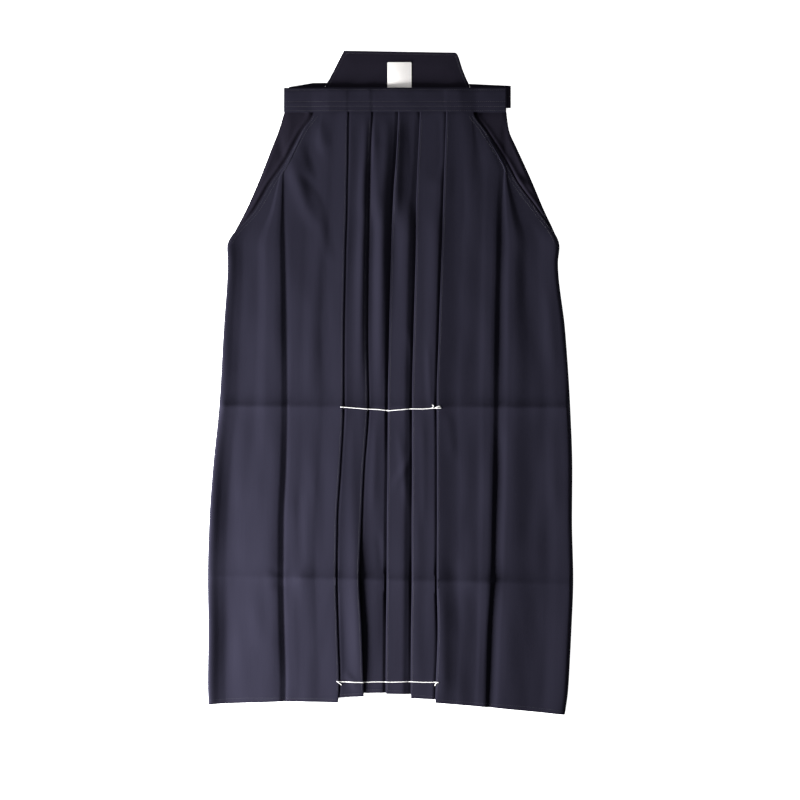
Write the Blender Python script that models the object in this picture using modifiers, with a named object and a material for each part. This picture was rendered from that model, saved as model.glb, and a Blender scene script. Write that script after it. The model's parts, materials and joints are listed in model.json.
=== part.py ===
"""Hakama trousers laid flat on their back, front up. Metres, +Z up, +Y from the hem to the back board.

Each half of the front is one wall that runs in knife pleats, the back is a flat wall for each leg, and the
waistband, its ties, the stiff back board and the board's label are their own pieces. Left and right are as
seen from above, with the back board at the top.
"""

import math

import bpy
import numpy as np

MM = 0.001

# Cloth: how thick each wall is and how far apart two layers lie.
WALL = 1.0 * MM
SEAM_GAP = 0.3 * MM
PITCH = WALL + SEAM_GAP
BACK_MID = WALL / 2
REST_MID = BACK_MID + PITCH

# Pleats: how each fold turns and how the panel over it comes down again.
FOLD_RADIUS = PITCH / 2
FOLD_POINTS = 4
FALL = 16 * MM
FOLD_CLEARANCE = 2 * MM
INNER_LAP = 20 * MM
SEAM_LAP = 3 * MM
BACK_LAP = 8 * MM
LAP_SLOPE = 5 * MM
LAP_FALL = 10 * MM
BACK_POINTS = 7
SIDES = {"left": -1, "right": 1}

# Finish: the angle past which an edge is drawn sharp, and how near points are joined.
CREASE_ANGLE = 35
WELD = 0.01 * MM

# Waist: the back ends at the board's seam, and the band lies over the top of the front.
BACK_TOP = 439 * MM
BAND_BOTTOM = 432.5 * MM
BAND_TOP = 471 * MM
BACK_TIE_TOP = 476.5 * MM
TIE_MID = REST_MID + PITCH

# Board: a stiff plate in cloth, wider at its foot, with a label on its inner face.
BOARD_THICKNESS = 3.5 * MM
BOARD_EDGE_ROUND = 1.0 * MM
BOARD_EDGE_ANGLE = 50
LABEL_THICKNESS = 0.6 * MM
LABEL_LEFT, LABEL_RIGHT = -5.5 * MM, 33 * MM
LABEL_BOTTOM, LABEL_TOP = 467 * MM, 515 * MM

# Millimetres, one row for each section from the hem to the waist: where the side edges, the two storage
# creases and the five pleat folds A to E lie, how deep the pleats run in under their folds, how far the
# front stands off its rest, and how much the side panels swell, the pleats puff and fold B lifts.
SECTION_COLUMNS = (
    "y", "left", "crease_left", "a", "b", "c", "d", "e", "crease_right", "right",
    "depth", "rise", "swell", "puff", "lift",
)
SECTIONS = (
    (-512, -291.0, -168.0, -84.0, -43.0, -7.0, 33.0, 72.0, 157.5, 278.5, 33, 0.0, 0.7, 0.4, 0.6),
    (-479, -292.0, -167.5, -82.5, -44.0, -7.0, 33.0, 73.0, 158.5, 284.0, 33, 0.0, 0.9, 0.3, 1.6),
    (-396, -291.0, -169.5, -85.0, -46.5, -6.5, 33.5, 76.0, 161.0, 289.0, 33, 0.0, 1.0, 0.8, 3.2),
    (-312, -292.0, -171.0, -87.0, -50.0, -5.5, 34.5, 74.5, 166.5, 292.0, 33, 0.0, 0.6, 0.7, 3.0),
    (-220, -289.5, -170.5, -86.0, -47.0, -5.0, 34.5, 75.0, 169.0, 290.0, 33, 0.0, 1.0, 0.6, 0.8),
    (-140, -284.0, -167.0, -81.0, -43.5, -4.0, 35.0, 75.0, 171.0, 290.5, 33, 0.0, 1.0, 0.4, 0.3),
    (-36, -273.5, -165.0, -76.0, -36.5, -3.5, 35.0, 74.5, 172.5, 287.0, 32, 0.0, 0.5, 0.3, 0.0),
    (84, -266.5, -166.0, -75.5, -38.5, -1.5, 37.5, 78.0, 174.0, 279.0, 31, 0.0, 1.0, 2.0, 0.0),
    (193, -260.0, -168.0, -73.5, -37.5, 1.0, 40.5, 81.5, 176.5, 267.5, 29, 0.0, 1.0, 3.0, 0.0),
    (217, -261.0, -168.5, -73.0, -37.0, 1.7, 41.0, 82.5, 177.0, 270.0, 28, 0.0, 1.0, 3.1, 0.0),
    (276, -217.0, -170.5, -71.0, -35.5, 4.0, 41.5, 84.5, 178.0, 234.5, 27, 0.0, 0.9, 3.1, 0.0),
    (321, -191.0, -171.0, -70.3, -34.5, 6.5, 42.8, 85.8, 180.0, 201.5, 26, 0.2, 0.8, 2.9, 0.0),
    (351, -170.0, -172.0, -69.5, -33.5, 9.0, 44.0, 87.0, 182.5, 185.0, 25, 0.6, 0.7, 2.4, 0.0),
    (404, -141.0, -172.0, -69.0, -31.5, 12.0, 46.5, 88.8, 184.0, 150.5, 23, 1.8, 0.5, 1.2, 0.0),
    (432, -123.0, -172.0, -68.5, -30.5, 13.0, 47.5, 89.5, 184.0, 132.0, 22, 2.6, 0.1, 0.1, 0.0),
    (466, -123.0, -172.0, -68.5, -30.5, 13.0, 47.5, 89.5, 184.0, 132.0, 22, 2.6, 0.0, 0.0, 0.0),
)

# Millimetres, one row for each section of the back, whose side edges show past the front's slits.
BACK_COLUMNS = ("y", "left", "right")
BACK_SECTIONS = (
    (-508, -290.0, 277.5),
    (-479, -291.6, 283.6),
    (-396, -290.6, 288.6),
    (-312, -291.6, 291.6),
    (-220, -289.1, 289.6),
    (-140, -283.6, 290.1),
    (-36, -273.1, 286.6),
    (84, -266.1, 278.6),
    (193, -259.6, 267.1),
    (217, -261.0, 270.0),
    (236, -252.0, 264.0),
    (276, -231.0, 245.5),
    (321, -211.0, 226.5),
    (351, -199.0, 213.0),
    (377, -189.0, 201.0),
    (404, -178.5, 189.5),
    (439, -168.0, 184.5),
)

# Millimetres: the soft ridges of each side panel, from the side edge to the storage crease and on to the
# first pleat. A row is where it starts from, how far off that it lies, and its height over the panel's rest.
LEFT_RIDGES = (
    ("edge", 0, 0.0),
    ("edge", 5, 1.4),
    ("edge", 22, 0.8),
    ("crease", -16, 3.2),
    ("crease", 0, 0.4),
    ("crease", 8, 2.2),
    ("crease", 34, 1.4),
)
RIGHT_RIDGES = (
    ("edge", 0, 0.0),
    ("edge", 7, 2.4),
    ("edge", 32, 0.9),
    ("crease", -16, 3.2),
    ("crease", 0, 0.4),
    ("crease", 9, 1.8),
    ("crease", 34, 1.2),
)
OUTER_ROOM = 60 * MM
INNER_ROOM = 40 * MM
CREASE_SHARE = 0.45

# Millimetres: the hem's line. A side panel's has its side edge, its storage crease and its fold, each other
# panel's has its two ends, and the back's is given across both legs.
HEM_LEFT = ((-514.0, -509.5, -511.0), (-504.5, -501.5), (-496.0, -496.0))
HEM_RIGHT = ((-531.0, -519.0, -511.5), (-507.5, -504.5), (-498.5, -497.5))
HEM_RETURN_C = -497.0
BACK_HEM_COLUMNS = ("x", "y")
BACK_HEM = (
    (-291, -510.0),
    (-170, -505.5),
    (-80, -504.0),
    (-40, -495.0),
    (10, -491.5),
    (35, -493.0),
    (75, -504.0),
    (160, -515.0),
    (279, -527.0),
)
HEM_REACH = -440 * MM

# Puffed pleats, from the outermost to the innermost of each half: how much of the section's puff each one
# takes, and where it crowns, as a share of the stretch that shows, from the side edge's end of it.
PUFF_SHARES_LEFT, PUFF_CROWNS_LEFT = (0.0, 0.3, 1.0), (0.5, 0.6, 0.55)
PUFF_SHARES_RIGHT, PUFF_CROWNS_RIGHT = (0.0, 1.0, 0.9), (0.5, 0.35, 0.5)
PLEAT_SHARES = (0.0, 0.28, 0.5, 0.72)
LIFT_REACH = 0.9
LAST_RIDGE = 0.9

# Millimetres: the rows that each wall is lofted through.
FRONT_ROWS = (
    -512, -479, -440, -396, -350, -312, -270, -220, -140, -80, -36, 20, 84, 140, 193, 217, 246, 276,
    300, 321, 351, 377, 404, 432, 466,
)
BACK_ROWS = (-508, -479, -396, -312, -220, -140, -36, 84, 193, 217, 236, 276, 321, 351, 377, 404, 439)

# Millimetres: the waistband's run over the front, from its left end to its right end.
BAND_RUN = (
    (-170.0, 5.7),
    (-128.0, 5.7),
    (-112.0, 7.4),
    (-96.0, 9.2),
    (-40.0, 9.4),
    (30.0, 9.4),
    (108.0, 9.2),
    (124.0, 7.4),
    (140.0, 5.7),
    (184.5, 5.7),
)
BAND_RETURN_LEFT = -112 * MM
BAND_RETURN_RIGHT = 134 * MM
BACK_TIE_FOLD_LEFT = -162.5 * MM
BACK_TIE_FOLD_RIGHT = 192.5 * MM

# Millimetres: the board's side edges from its foot to its top.
BOARD_COLUMNS = ("y", "left", "right")
BOARD_SECTIONS = (
    (439.3, -108.0, 128.0),
    (471.5, -105.0, 127.0),
    (487.5, -96.8, 121.0),
    (500.5, -90.2, 116.0),
    (524.0, -78.1, 108.8),
    (529.0, -75.5, 106.5),
    (531.0, -74.5, 103.5),
)

NAVY = (0.040, 0.040, 0.064, 1.0)
DARK_NAVY = (0.028, 0.027, 0.040, 1.0)
LABEL_WHITE = (0.88, 0.83, 0.80, 1.0)


def clear_scene():
    for item in list(bpy.data.objects):
        bpy.data.objects.remove(item, do_unlink=True)


def cloth_material(name, colour, roughness):
    material = bpy.data.materials.new(name)
    material.use_nodes = True
    shader = material.node_tree.nodes["Principled BSDF"]
    shader.inputs["Base Color"].default_value = colour
    shader.inputs["Roughness"].default_value = roughness
    shader.inputs["Metallic"].default_value = 0.0
    material.diffuse_color = colour
    return material


def eased(t):
    """From 0 to 1 with a level start and end."""
    t = np.clip(t, 0.0, 1.0)
    return t * t * (3 - 2 * t)


def along(stations, values, at):
    """A smooth curve through the values, which never swings past them."""
    stations, values, at = (np.asarray(item, float) for item in (stations, values, at))
    gaps = np.diff(stations)
    slopes = np.diff(values) / gaps
    both = slopes[1:] * slopes[:-1]
    total = np.where(both > 0, slopes[1:] + slopes[:-1], 1.0)
    inner = np.where(both > 0, 2 * both / total, 0.0)
    tangents = np.concatenate([slopes[:1], inner, slopes[-1:]])
    i = np.clip(np.searchsorted(stations, at) - 1, 0, len(gaps) - 1)
    t = np.clip((at - stations[i]) / gaps[i], 0.0, 1.0)
    start = values[i] + tangents[i] * gaps[i] * t * (1 - t) ** 2
    end = -tangents[i + 1] * gaps[i] * t * t * (1 - t)
    return start + end + (values[i + 1] - values[i]) * t * t * (3 - 2 * t)


def table_row(columns, table, y):
    """The named values of a table at one height along the garment, in metres."""
    numbers = np.array(table, float) * MM
    return {name: float(along(numbers[:, 0], numbers[:, i], y)) for i, name in enumerate(columns)}


def bulge(u, start, end, crown):
    """A soft hump from one end of a stretch to the other, highest at its crown."""
    t = np.clip((u - start) / (end - start), 0.0, 1.0)
    t = t ** (math.log(0.5) / math.log(crown))
    return np.sin(np.pi * t) ** 2


class PleatedHalf:
    """One section of half of the front. Its u runs from the side edge to the middle, also on the right."""

    def __init__(self, side, y):
        self.side = side
        row = table_row(SECTION_COLUMNS, SECTIONS, y)
        self.depth = row["depth"]
        self.rest = REST_MID + row["rise"]
        self.swell = row["swell"] / MM
        self.middle = row["c"]
        if side < 0:
            self.edge, self.crease = row["left"], row["crease_left"]
            self.folds = [row["a"], row["b"]]
            self.end = row["c"] + INNER_LAP - SEAM_GAP
            self.ridges, self.hem = LEFT_RIDGES, HEM_LEFT
            self.puffs = [share * row["puff"] for share in PUFF_SHARES_LEFT]
            self.crowns = PUFF_CROWNS_LEFT
            self.lifts = [0.0, row["lift"]]
        else:
            self.edge, self.crease = -row["right"], -row["crease_right"]
            self.folds = [-row["e"], -row["d"], -row["c"]]
            self.end = -(row["c"] + INNER_LAP + SEAM_LAP)
            self.ridges, self.hem = RIGHT_RIDGES, HEM_RIGHT
            self.puffs = [share * row["puff"] for share in PUFF_SHARES_RIGHT]
            self.crowns = PUFF_CROWNS_RIGHT
            self.lifts = [0.0, 0.0, 0.0]

    def ground(self, u):
        """What the innermost panel lies on: the back, and on the right also the left leg's edge."""
        if self.side < 0:
            return np.full(np.shape(u), self.rest)
        start = self.middle + INNER_LAP + SEAM_LAP + FOLD_CLEARANCE
        end = self.middle + INNER_LAP + BACK_LAP + LAP_FALL
        return self.rest + 2 * PITCH * (1 - eased((-u - start) / (end - start)))

    def hidden_end(self, k):
        return self.folds[k] - self.depth

    def lifted(self, k, u):
        """How far the fold k stands off the pleat below it."""
        reach = self.depth * LIFT_REACH
        return self.lifts[k] * eased((u - (self.folds[k] - reach)) / reach)

    def ridge_points(self):
        """The side panel's own ups and downs, drawn in where the slit leaves the panel little room."""
        inner = self.hidden_end(0) - FALL
        crease = max(self.crease, self.edge + CREASE_SHARE * (inner - self.edge))
        outside = min(1.0, (crease - self.edge) / OUTER_ROOM)
        inside = min(1.0, (inner - crease) / INNER_ROOM)
        places = []
        for start, offset, height in self.ridges:
            first = crease if start == "crease" else self.edge
            near = outside if offset < 0 or start == "edge" else inside
            places.append((first + offset * MM * near, height * MM * self.swell * outside))
        return places

    def side_ridges(self, u):
        places = self.ridge_points() + [(self.hidden_end(0) - FALL, LAST_RIDGE * MM * self.swell)]
        places = places + [(self.hidden_end(0), 0.0)]
        stations = np.array([place[0] for place in places])
        heights = np.array([place[1] for place in places])
        return along(stations, heights, u)

    def height(self, k, u):
        """Mid-height of panel k, where 0 is the side panel and the last one lies lowest."""
        u = np.asarray(u, float)
        last = len(self.puffs) - 1
        if k == last:
            own = self.ground(u)
        else:
            hidden = self.hidden_end(k)
            step = 2 * PITCH + self.height(k + 1, hidden) - self.ground(hidden)
            start = hidden - FALL
            fallen = self.ground(u) + step * eased((u - start) / (FALL - FOLD_CLEARANCE))
            stacked = self.height(k + 1, u) + 2 * PITCH + self.lifted(k, u)
            own = np.where(u > hidden, stacked, fallen)
        if k == 0:
            return own + self.side_ridges(u)
        if k == last and self.side < 0:
            stop = self.middle - FOLD_CLEARANCE
        else:
            stop = self.folds[k]
        return own + self.puffs[k] * bulge(u, self.folds[k - 1], stop, self.crowns[k])

    def returned(self, k, u):
        """Mid-height of the hidden layer that runs back in under fold k."""
        if k == len(self.puffs) - 1:
            return np.full(np.shape(u), self.rest + PITCH)
        return self.height(k + 1, u) + PITCH + self.lifted(k, u)

    def panel_stations(self, k):
        """Where the section has its points on panel k, from its first end to its fold."""
        if k == 0:
            inner = [place[0] for place in self.ridge_points()]
            inner.append(self.hidden_end(0) - FALL)
            inner.append(self.hidden_end(0) - FALL / 2)
            inner.append(self.hidden_end(0))
            return inner
        start = self.hidden_end(k - 1) + FOLD_RADIUS
        seen = self.folds[k - 1]
        stop = self.folds[k] if k < len(self.folds) else self.middle
        inner = [start] + [seen + share * (stop - seen) for share in PLEAT_SHARES]
        if k == len(self.folds):
            inner += [stop, self.end]
        return inner

    def path(self):
        """Points along the wall's middle, as rows of u, height and the hem's line at that point."""
        points = []
        for k, stations in enumerate(map(self.panel_stations, range(len(self.puffs)))):
            if k < len(self.folds):
                stations = stations + [self.folds[k] - FOLD_RADIUS]
            ends = [stations[0], self.crease, stations[-1]] if k == 0 else [stations[0], stations[-1]]
            hems = np.interp(stations, ends, np.array(self.hem[k]) * MM)
            points += list(zip(stations, self.height(k, np.array(stations)), hems))
            if k < len(self.folds):
                points += self.knife_fold(k, hems[-1])
        return np.array(points)

    def knife_fold(self, k, hem):
        """The turn at fold k, the hidden layer, and the turn at its far end into the next panel."""
        final = k == len(self.puffs) - 1
        centre = self.folds[k] - FOLD_RADIUS
        top = float(self.height(k, centre))
        low = float(self.returned(k, centre))
        next_hem = HEM_RETURN_C * MM if final else self.hem[k + 1][0] * MM
        points = []
        for turn in range(1, FOLD_POINTS):
            angle = math.pi * (0.5 - turn / (FOLD_POINTS - 1))
            reach = FOLD_RADIUS * math.cos(angle)
            points.append((centre + reach, (top + low) / 2 + (top - low) / 2 * math.sin(angle), hem))
        far = self.end if final else self.hidden_end(k) + FOLD_RADIUS
        middle = (centre + far) / 2
        points.append((middle, float(self.returned(k, middle)), (hem + next_hem) / 2))
        points.append((far, float(self.returned(k, far)), next_hem))
        if final:
            return points
        top = float(self.returned(k, far))
        low = float(self.height(k + 1, far))
        for turn in range(1, FOLD_POINTS - 1):
            angle = math.pi * (0.5 - turn / (FOLD_POINTS - 1))
            reach = FOLD_RADIUS * math.cos(angle)
            height = (top + low) / 2 + (top - low) / 2 * math.sin(angle)
            points.append((far - reach, height, next_hem))
        return points


def wall(name, rows, material, parts):
    """A sheet of cloth through rows of points, from a grid whose points are moved, with its thickness."""
    columns, lines = len(rows[0]) - 1, len(rows) - 1
    bpy.ops.mesh.primitive_grid_add(x_subdivisions=columns, y_subdivisions=lines, size=1)
    sheet = bpy.context.object
    sheet.name = name
    sheet.data.name = name
    for vertex in sheet.data.vertices:
        i = round((vertex.co.x + 0.5) * columns)
        j = round((vertex.co.y + 0.5) * lines)
        vertex.co = rows[j][i]
    solidify = sheet.modifiers.new("Wall", "SOLIDIFY")
    solidify.thickness = WALL
    solidify.offset = 0.0
    solidify.use_even_offset = True
    solidify.use_quality_normals = True
    return finish(sheet, material, parts)


def finish(piece, material, parts):
    piece.data.materials.clear()
    piece.data.materials.append(material)
    for collection in list(piece.users_collection):
        collection.objects.unlink(piece)
    parts.objects.link(piece)
    piece.data.shade_smooth()
    piece.data.set_sharp_from_angle(angle=math.radians(CREASE_ANGLE))
    return piece


def drawn_down(y, bottom, hem):
    """Where a point at this height lies once the lowest row has been drawn to the hem's own line."""
    return y + (hem - bottom) * max(0.0, (HEM_REACH - y) / (HEM_REACH - bottom))


def front_half(side):
    """Rows of points of one half of the front."""
    rows = []
    bottom = FRONT_ROWS[0] * MM
    for station in FRONT_ROWS:
        y = station * MM
        path = PleatedHalf(side, y).path()
        rows.append([(-side * u, drawn_down(y, bottom, hem), height) for u, height, hem in path])
    return rows


def back_path(side, y):
    """One section of a leg's back. The two legs lap at the middle, with the left one against the floor."""
    row = table_row(BACK_COLUMNS, BACK_SECTIONS, y)
    seam = table_row(SECTION_COLUMNS, SECTIONS, y)["c"] + INNER_LAP
    if side < 0:
        edge, end = row["left"], seam + BACK_LAP
        return [(edge + share * (end - edge), BACK_MID) for share in np.linspace(0.0, 1.0, BACK_POINTS)]
    lap_end = seam + BACK_LAP + FOLD_CLEARANCE
    places = [
        (seam + SEAM_GAP, REST_MID),
        (lap_end, REST_MID),
        (lap_end + LAP_SLOPE / 2, (REST_MID + BACK_MID) / 2),
        (lap_end + LAP_SLOPE, BACK_MID),
    ]
    start = places[-1][0]
    shares = np.linspace(0.0, 1.0, BACK_POINTS)[1:]
    return places + [(start + share * (row["right"] - start), BACK_MID) for share in shares]


def back_half(side):
    """Rows of points of one leg's back."""
    rows = []
    bottom = BACK_ROWS[0] * MM
    hem_x, hem_y = np.array(BACK_HEM).T * MM
    for station in BACK_ROWS:
        y = station * MM
        path = back_path(side, y)
        rows.append([(x, drawn_down(y, bottom, np.interp(x, hem_x, hem_y)), z) for x, z in path])
    return rows


def turned_end(x, low, high, direction):
    """The points of a strip's fold, from its lower run to its upper run."""
    radius = (high - low) / 2
    points = []
    for turn in range(FOLD_POINTS + 1):
        angle = math.pi * (turn / FOLD_POINTS - 0.5)
        reach = radius * (math.cos(angle) - 1)
        points.append((x + direction * reach, (low + high) / 2 + radius * math.sin(angle)))
    return points


def strip(path, bottom, top, rows=3):
    """The rows of a strip of even width that follows a path seen from its edge."""
    heights = np.linspace(bottom, top, rows)
    return [[(x, y, z) for x, z in path] for y in heights]


def front_band_rows():
    run = [(x * MM, z * MM) for x, z in BAND_RUN]
    left = turned_end(run[0][0], TIE_MID, run[0][1], -1)
    right = turned_end(run[-1][0], TIE_MID, run[-1][1], 1)
    path = [(BAND_RETURN_LEFT, TIE_MID)] + left + run[1:-1] + right[::-1]
    path.append((BAND_RETURN_RIGHT, TIE_MID))
    return strip(path, BAND_BOTTOM, BAND_TOP)


def back_tie_rows(side):
    """A back tie: it leaves the board's foot, runs out to its fold and comes back under itself."""
    fold = BACK_TIE_FOLD_LEFT if side < 0 else BACK_TIE_FOLD_RIGHT
    column = "left" if side < 0 else "right"
    turn = turned_end(fold - side * WALL / 2, BACK_MID, REST_MID, side)
    rows = []
    for y in np.linspace(BACK_TOP + SEAM_GAP, BACK_TIE_TOP, 3):
        foot = table_row(BOARD_COLUMNS, BOARD_SECTIONS, y)[column] + side * FOLD_CLEARANCE / 2
        path = [(foot, BACK_MID), ((foot + fold) / 2, BACK_MID)] + turn
        path += [((foot + fold) / 2, REST_MID), (foot, REST_MID)]
        rows.append([(x, y, z) for x, z in path])
    return rows


def back_board(material, parts):
    """The board: its outline as a filled face, made thick and rounded at its edges."""
    sections = np.array(BOARD_SECTIONS) * MM
    outline = [(right, y) for y, left, right in sections]
    outline += [(left, y) for y, left, right in sections[::-1]]
    curve = bpy.data.curves.new("back_board", "CURVE")
    curve.dimensions = "2D"
    curve.fill_mode = "BOTH"
    curve.extrude = BOARD_THICKNESS / 2
    spline = curve.splines.new("POLY")
    spline.points.add(len(outline) - 1)
    spline.use_cyclic_u = True
    for point, (x, y) in zip(spline.points, outline):
        point.co = (x, y, 0.0, 1.0)
    drawn = bpy.data.objects.new("board_outline", curve)
    parts.objects.link(drawn)
    bpy.context.view_layer.update()
    mesh = bpy.data.meshes.new_from_object(drawn.evaluated_get(bpy.context.evaluated_depsgraph_get()))
    bpy.data.objects.remove(drawn, do_unlink=True)
    board = bpy.data.objects.new("back_board", mesh)
    board.location.z = BOARD_THICKNESS / 2
    parts.objects.link(board)
    weld = board.modifiers.new("Weld", "WELD")
    weld.merge_threshold = WELD
    bevel = board.modifiers.new("Edge", "BEVEL")
    bevel.width = BOARD_EDGE_ROUND
    bevel.segments = 2
    bevel.limit_method = "ANGLE"
    bevel.angle_limit = math.radians(BOARD_EDGE_ANGLE)
    return finish(board, material, parts)


def board_label(material, parts):
    """The label that lies on the board, its foot behind the waistband."""
    height = BOARD_THICKNESS + SEAM_GAP + LABEL_THICKNESS / 2
    centre = ((LABEL_LEFT + LABEL_RIGHT) / 2, (LABEL_BOTTOM + LABEL_TOP) / 2, height)
    bpy.ops.mesh.primitive_cube_add(size=1, location=centre)
    label = bpy.context.object
    label.name = "board_label"
    label.scale = (LABEL_RIGHT - LABEL_LEFT, LABEL_TOP - LABEL_BOTTOM, LABEL_THICKNESS)
    bpy.ops.object.transform_apply(location=False, rotation=False, scale=True)
    return finish(label, material, parts)


def build():
    clear_scene()
    parts = bpy.data.collections.new("Hakama trousers")
    bpy.context.scene.collection.children.link(parts)
    cloth = cloth_material("Navy cloth", NAVY, 0.75)
    shaded = cloth_material("Navy cloth of the back", DARK_NAVY, 0.8)
    for word, side in SIDES.items():
        wall("front_" + word, front_half(side), cloth, parts)
        wall("back_" + word, back_half(side), shaded, parts)
        wall("back_tie_" + word, back_tie_rows(side), shaded, parts)
    wall("front_band", front_band_rows(), cloth, parts)
    back_board(shaded, parts)
    board_label(cloth_material("Label", LABEL_WHITE, 0.6), parts)


build()
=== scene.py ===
"""Looks of a pair of navy hakama trousers laid flat, front up: cloth, waistband, ties, board and sewing.

The script is laid out as an add-on. Run as a script it makes every piece over the fixed frame.
Left and right are as seen from above, with the back board at the top.
"""

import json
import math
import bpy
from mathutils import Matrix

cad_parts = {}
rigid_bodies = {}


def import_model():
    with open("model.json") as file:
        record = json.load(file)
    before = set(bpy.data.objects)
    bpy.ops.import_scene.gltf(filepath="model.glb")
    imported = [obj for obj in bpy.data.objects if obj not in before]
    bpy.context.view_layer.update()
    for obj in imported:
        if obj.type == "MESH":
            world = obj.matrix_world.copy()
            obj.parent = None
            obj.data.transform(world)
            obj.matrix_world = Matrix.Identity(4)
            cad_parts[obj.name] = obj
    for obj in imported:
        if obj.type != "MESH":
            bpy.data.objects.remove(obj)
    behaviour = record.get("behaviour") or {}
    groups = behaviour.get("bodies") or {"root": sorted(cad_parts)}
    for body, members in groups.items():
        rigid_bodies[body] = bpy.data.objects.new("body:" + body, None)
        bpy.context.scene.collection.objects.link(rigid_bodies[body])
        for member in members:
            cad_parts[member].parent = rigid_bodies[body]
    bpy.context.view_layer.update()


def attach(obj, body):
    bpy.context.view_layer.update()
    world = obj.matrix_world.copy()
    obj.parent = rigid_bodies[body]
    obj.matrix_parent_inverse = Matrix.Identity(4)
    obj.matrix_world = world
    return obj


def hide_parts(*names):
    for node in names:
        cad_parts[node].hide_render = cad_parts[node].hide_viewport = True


bl_info = {
    "name": "Hakama Trousers",
    "version": (1, 0, 0),
    "blender": (4, 5, 0),
    "location": "3D View > Sidebar > Hakama",
    "description": "Pleated navy hakama trousers laid flat, with their waistband, back board and sewing",
    "category": "Object",
}

import bpy
import numpy as np
from mathutils import Vector
from mathutils.bvhtree import BVHTree

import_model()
BODY = "root"
MM = 0.001

# Cloth: the walls, their gaps and their folds, as in the solids.
WALL = 1.0 * MM
SEAM_GAP = 0.3 * MM
PITCH = WALL + SEAM_GAP
BACK_MID = WALL / 2
REST_MID = BACK_MID + PITCH
FOLD_RADIUS = PITCH / 2
FOLD_POINTS = 6
FALL = 38 * MM
RIDGE_END = 18 * MM
FOLD_CLEARANCE = 2 * MM
INNER_LAP = 20 * MM
SEAM_LAP = 3 * MM
BACK_LAP = 8 * MM
LAP_SLOPE = 5 * MM
LAP_FALL = 10 * MM
SIDES = {"left": -1, "right": 1}

# Waist, ties and board.
BACK_TOP = 439 * MM
BAND_BOTTOM = 432.5 * MM
BAND_TOP = 471 * MM
BACK_TIE_TOP = 476.5 * MM
TIE_MID = REST_MID + PITCH
BOARD_THICKNESS = 3.5 * MM

# Millimetres, one row for each section from the hem to the waist: the side edges, the two storage creases,
# the pleat folds A to E, how deep the pleats run in, how far the front stands off its rest, and how much
# the side panels swell, the pleats puff and fold B lifts.
SECTION_COLUMNS = (
    "y", "left", "crease_left", "a", "b", "c", "d", "e", "crease_right", "right",
    "depth", "rise", "swell", "puff", "lift",
)
SECTIONS = (
    (-512, -291.0, -168.0, -84.0, -43.0, -7.0, 33.0, 72.0, 157.5, 278.5, 33, 0.0, 0.8, 0.5, 1.2),
    (-479, -292.0, -167.5, -82.5, -44.0, -7.0, 33.0, 73.0, 158.5, 284.0, 33, 0.0, 0.9, 0.3, 2.8),
    (-396, -291.0, -169.5, -85.0, -46.5, -6.5, 33.5, 76.0, 161.0, 289.0, 33, 0.0, 1.0, 0.8, 5.4),
    (-312, -292.0, -171.0, -87.0, -50.0, -5.5, 34.5, 74.5, 166.5, 292.0, 33, 0.0, 0.9, 0.8, 4.0),
    (-220, -289.5, -170.5, -86.0, -47.0, -5.0, 34.5, 75.0, 169.0, 290.0, 33, 0.0, 1.0, 0.7, 0.35),
    (-140, -284.0, -167.0, -81.0, -43.5, -4.0, 35.0, 75.0, 171.0, 290.5, 33, 0.0, 1.0, 0.5, 0.0),
    (-36, -273.5, -165.0, -76.0, -36.5, -3.5, 35.0, 74.5, 172.5, 287.0, 32, 0.0, 0.7, 0.5, 0.0),
    (84, -266.5, -166.0, -75.5, -38.5, -1.5, 37.5, 78.0, 174.0, 279.0, 31, 0.0, 1.0, 2.4, 0.0),
    (193, -260.0, -168.0, -73.5, -37.5, 1.0, 40.5, 81.5, 176.5, 267.5, 29, 0.0, 1.0, 3.6, 0.0),
    (217, -261.0, -168.5, -73.0, -37.0, 1.7, 41.0, 82.5, 177.0, 270.0, 28, 0.0, 1.0, 3.8, 0.0),
    (276, -217.0, -170.5, -71.0, -35.5, 4.0, 41.5, 84.5, 178.0, 234.5, 27, 0.0, 0.9, 4.2, 0.0),
    (321, -191.0, -171.0, -70.3, -34.5, 6.5, 42.8, 85.8, 180.0, 201.5, 26, 0.2, 0.8, 4.4, 0.0),
    (351, -170.0, -172.0, -69.5, -33.5, 9.0, 44.0, 87.0, 182.5, 185.0, 25, 0.6, 0.7, 4.0, 0.0),
    (404, -141.0, -172.0, -69.0, -31.5, 12.0, 46.5, 88.8, 184.0, 150.5, 23, 1.8, 0.5, 2.2, 0.0),
    (432, -123.0, -172.0, -68.5, -30.5, 13.0, 47.5, 89.5, 184.0, 132.0, 22, 2.6, 0.1, 0.1, 0.0),
    (466, -123.0, -172.0, -68.5, -30.5, 13.0, 47.5, 89.5, 184.0, 132.0, 22, 2.6, 0.0, 0.0, 0.0),
)
FRONT_BOTTOM, FRONT_TOP = -512 * MM, 466 * MM

BACK_COLUMNS = ("y", "left", "right")
BACK_SECTIONS = (
    (-508, -290.0, 277.5),
    (-479, -291.6, 283.6),
    (-396, -290.6, 288.6),
    (-312, -291.6, 291.6),
    (-220, -289.1, 289.6),
    (-140, -283.6, 290.1),
    (-36, -273.1, 286.6),
    (84, -266.1, 278.6),
    (193, -259.6, 267.1),
    (217, -261.0, 270.0),
    (236, -252.0, 264.0),
    (276, -231.0, 245.5),
    (321, -211.0, 226.5),
    (351, -199.0, 213.0),
    (377, -189.0, 201.0),
    (404, -178.5, 189.5),
    (439, -168.0, 184.5),
)
BACK_BOTTOM = -508 * MM

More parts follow.
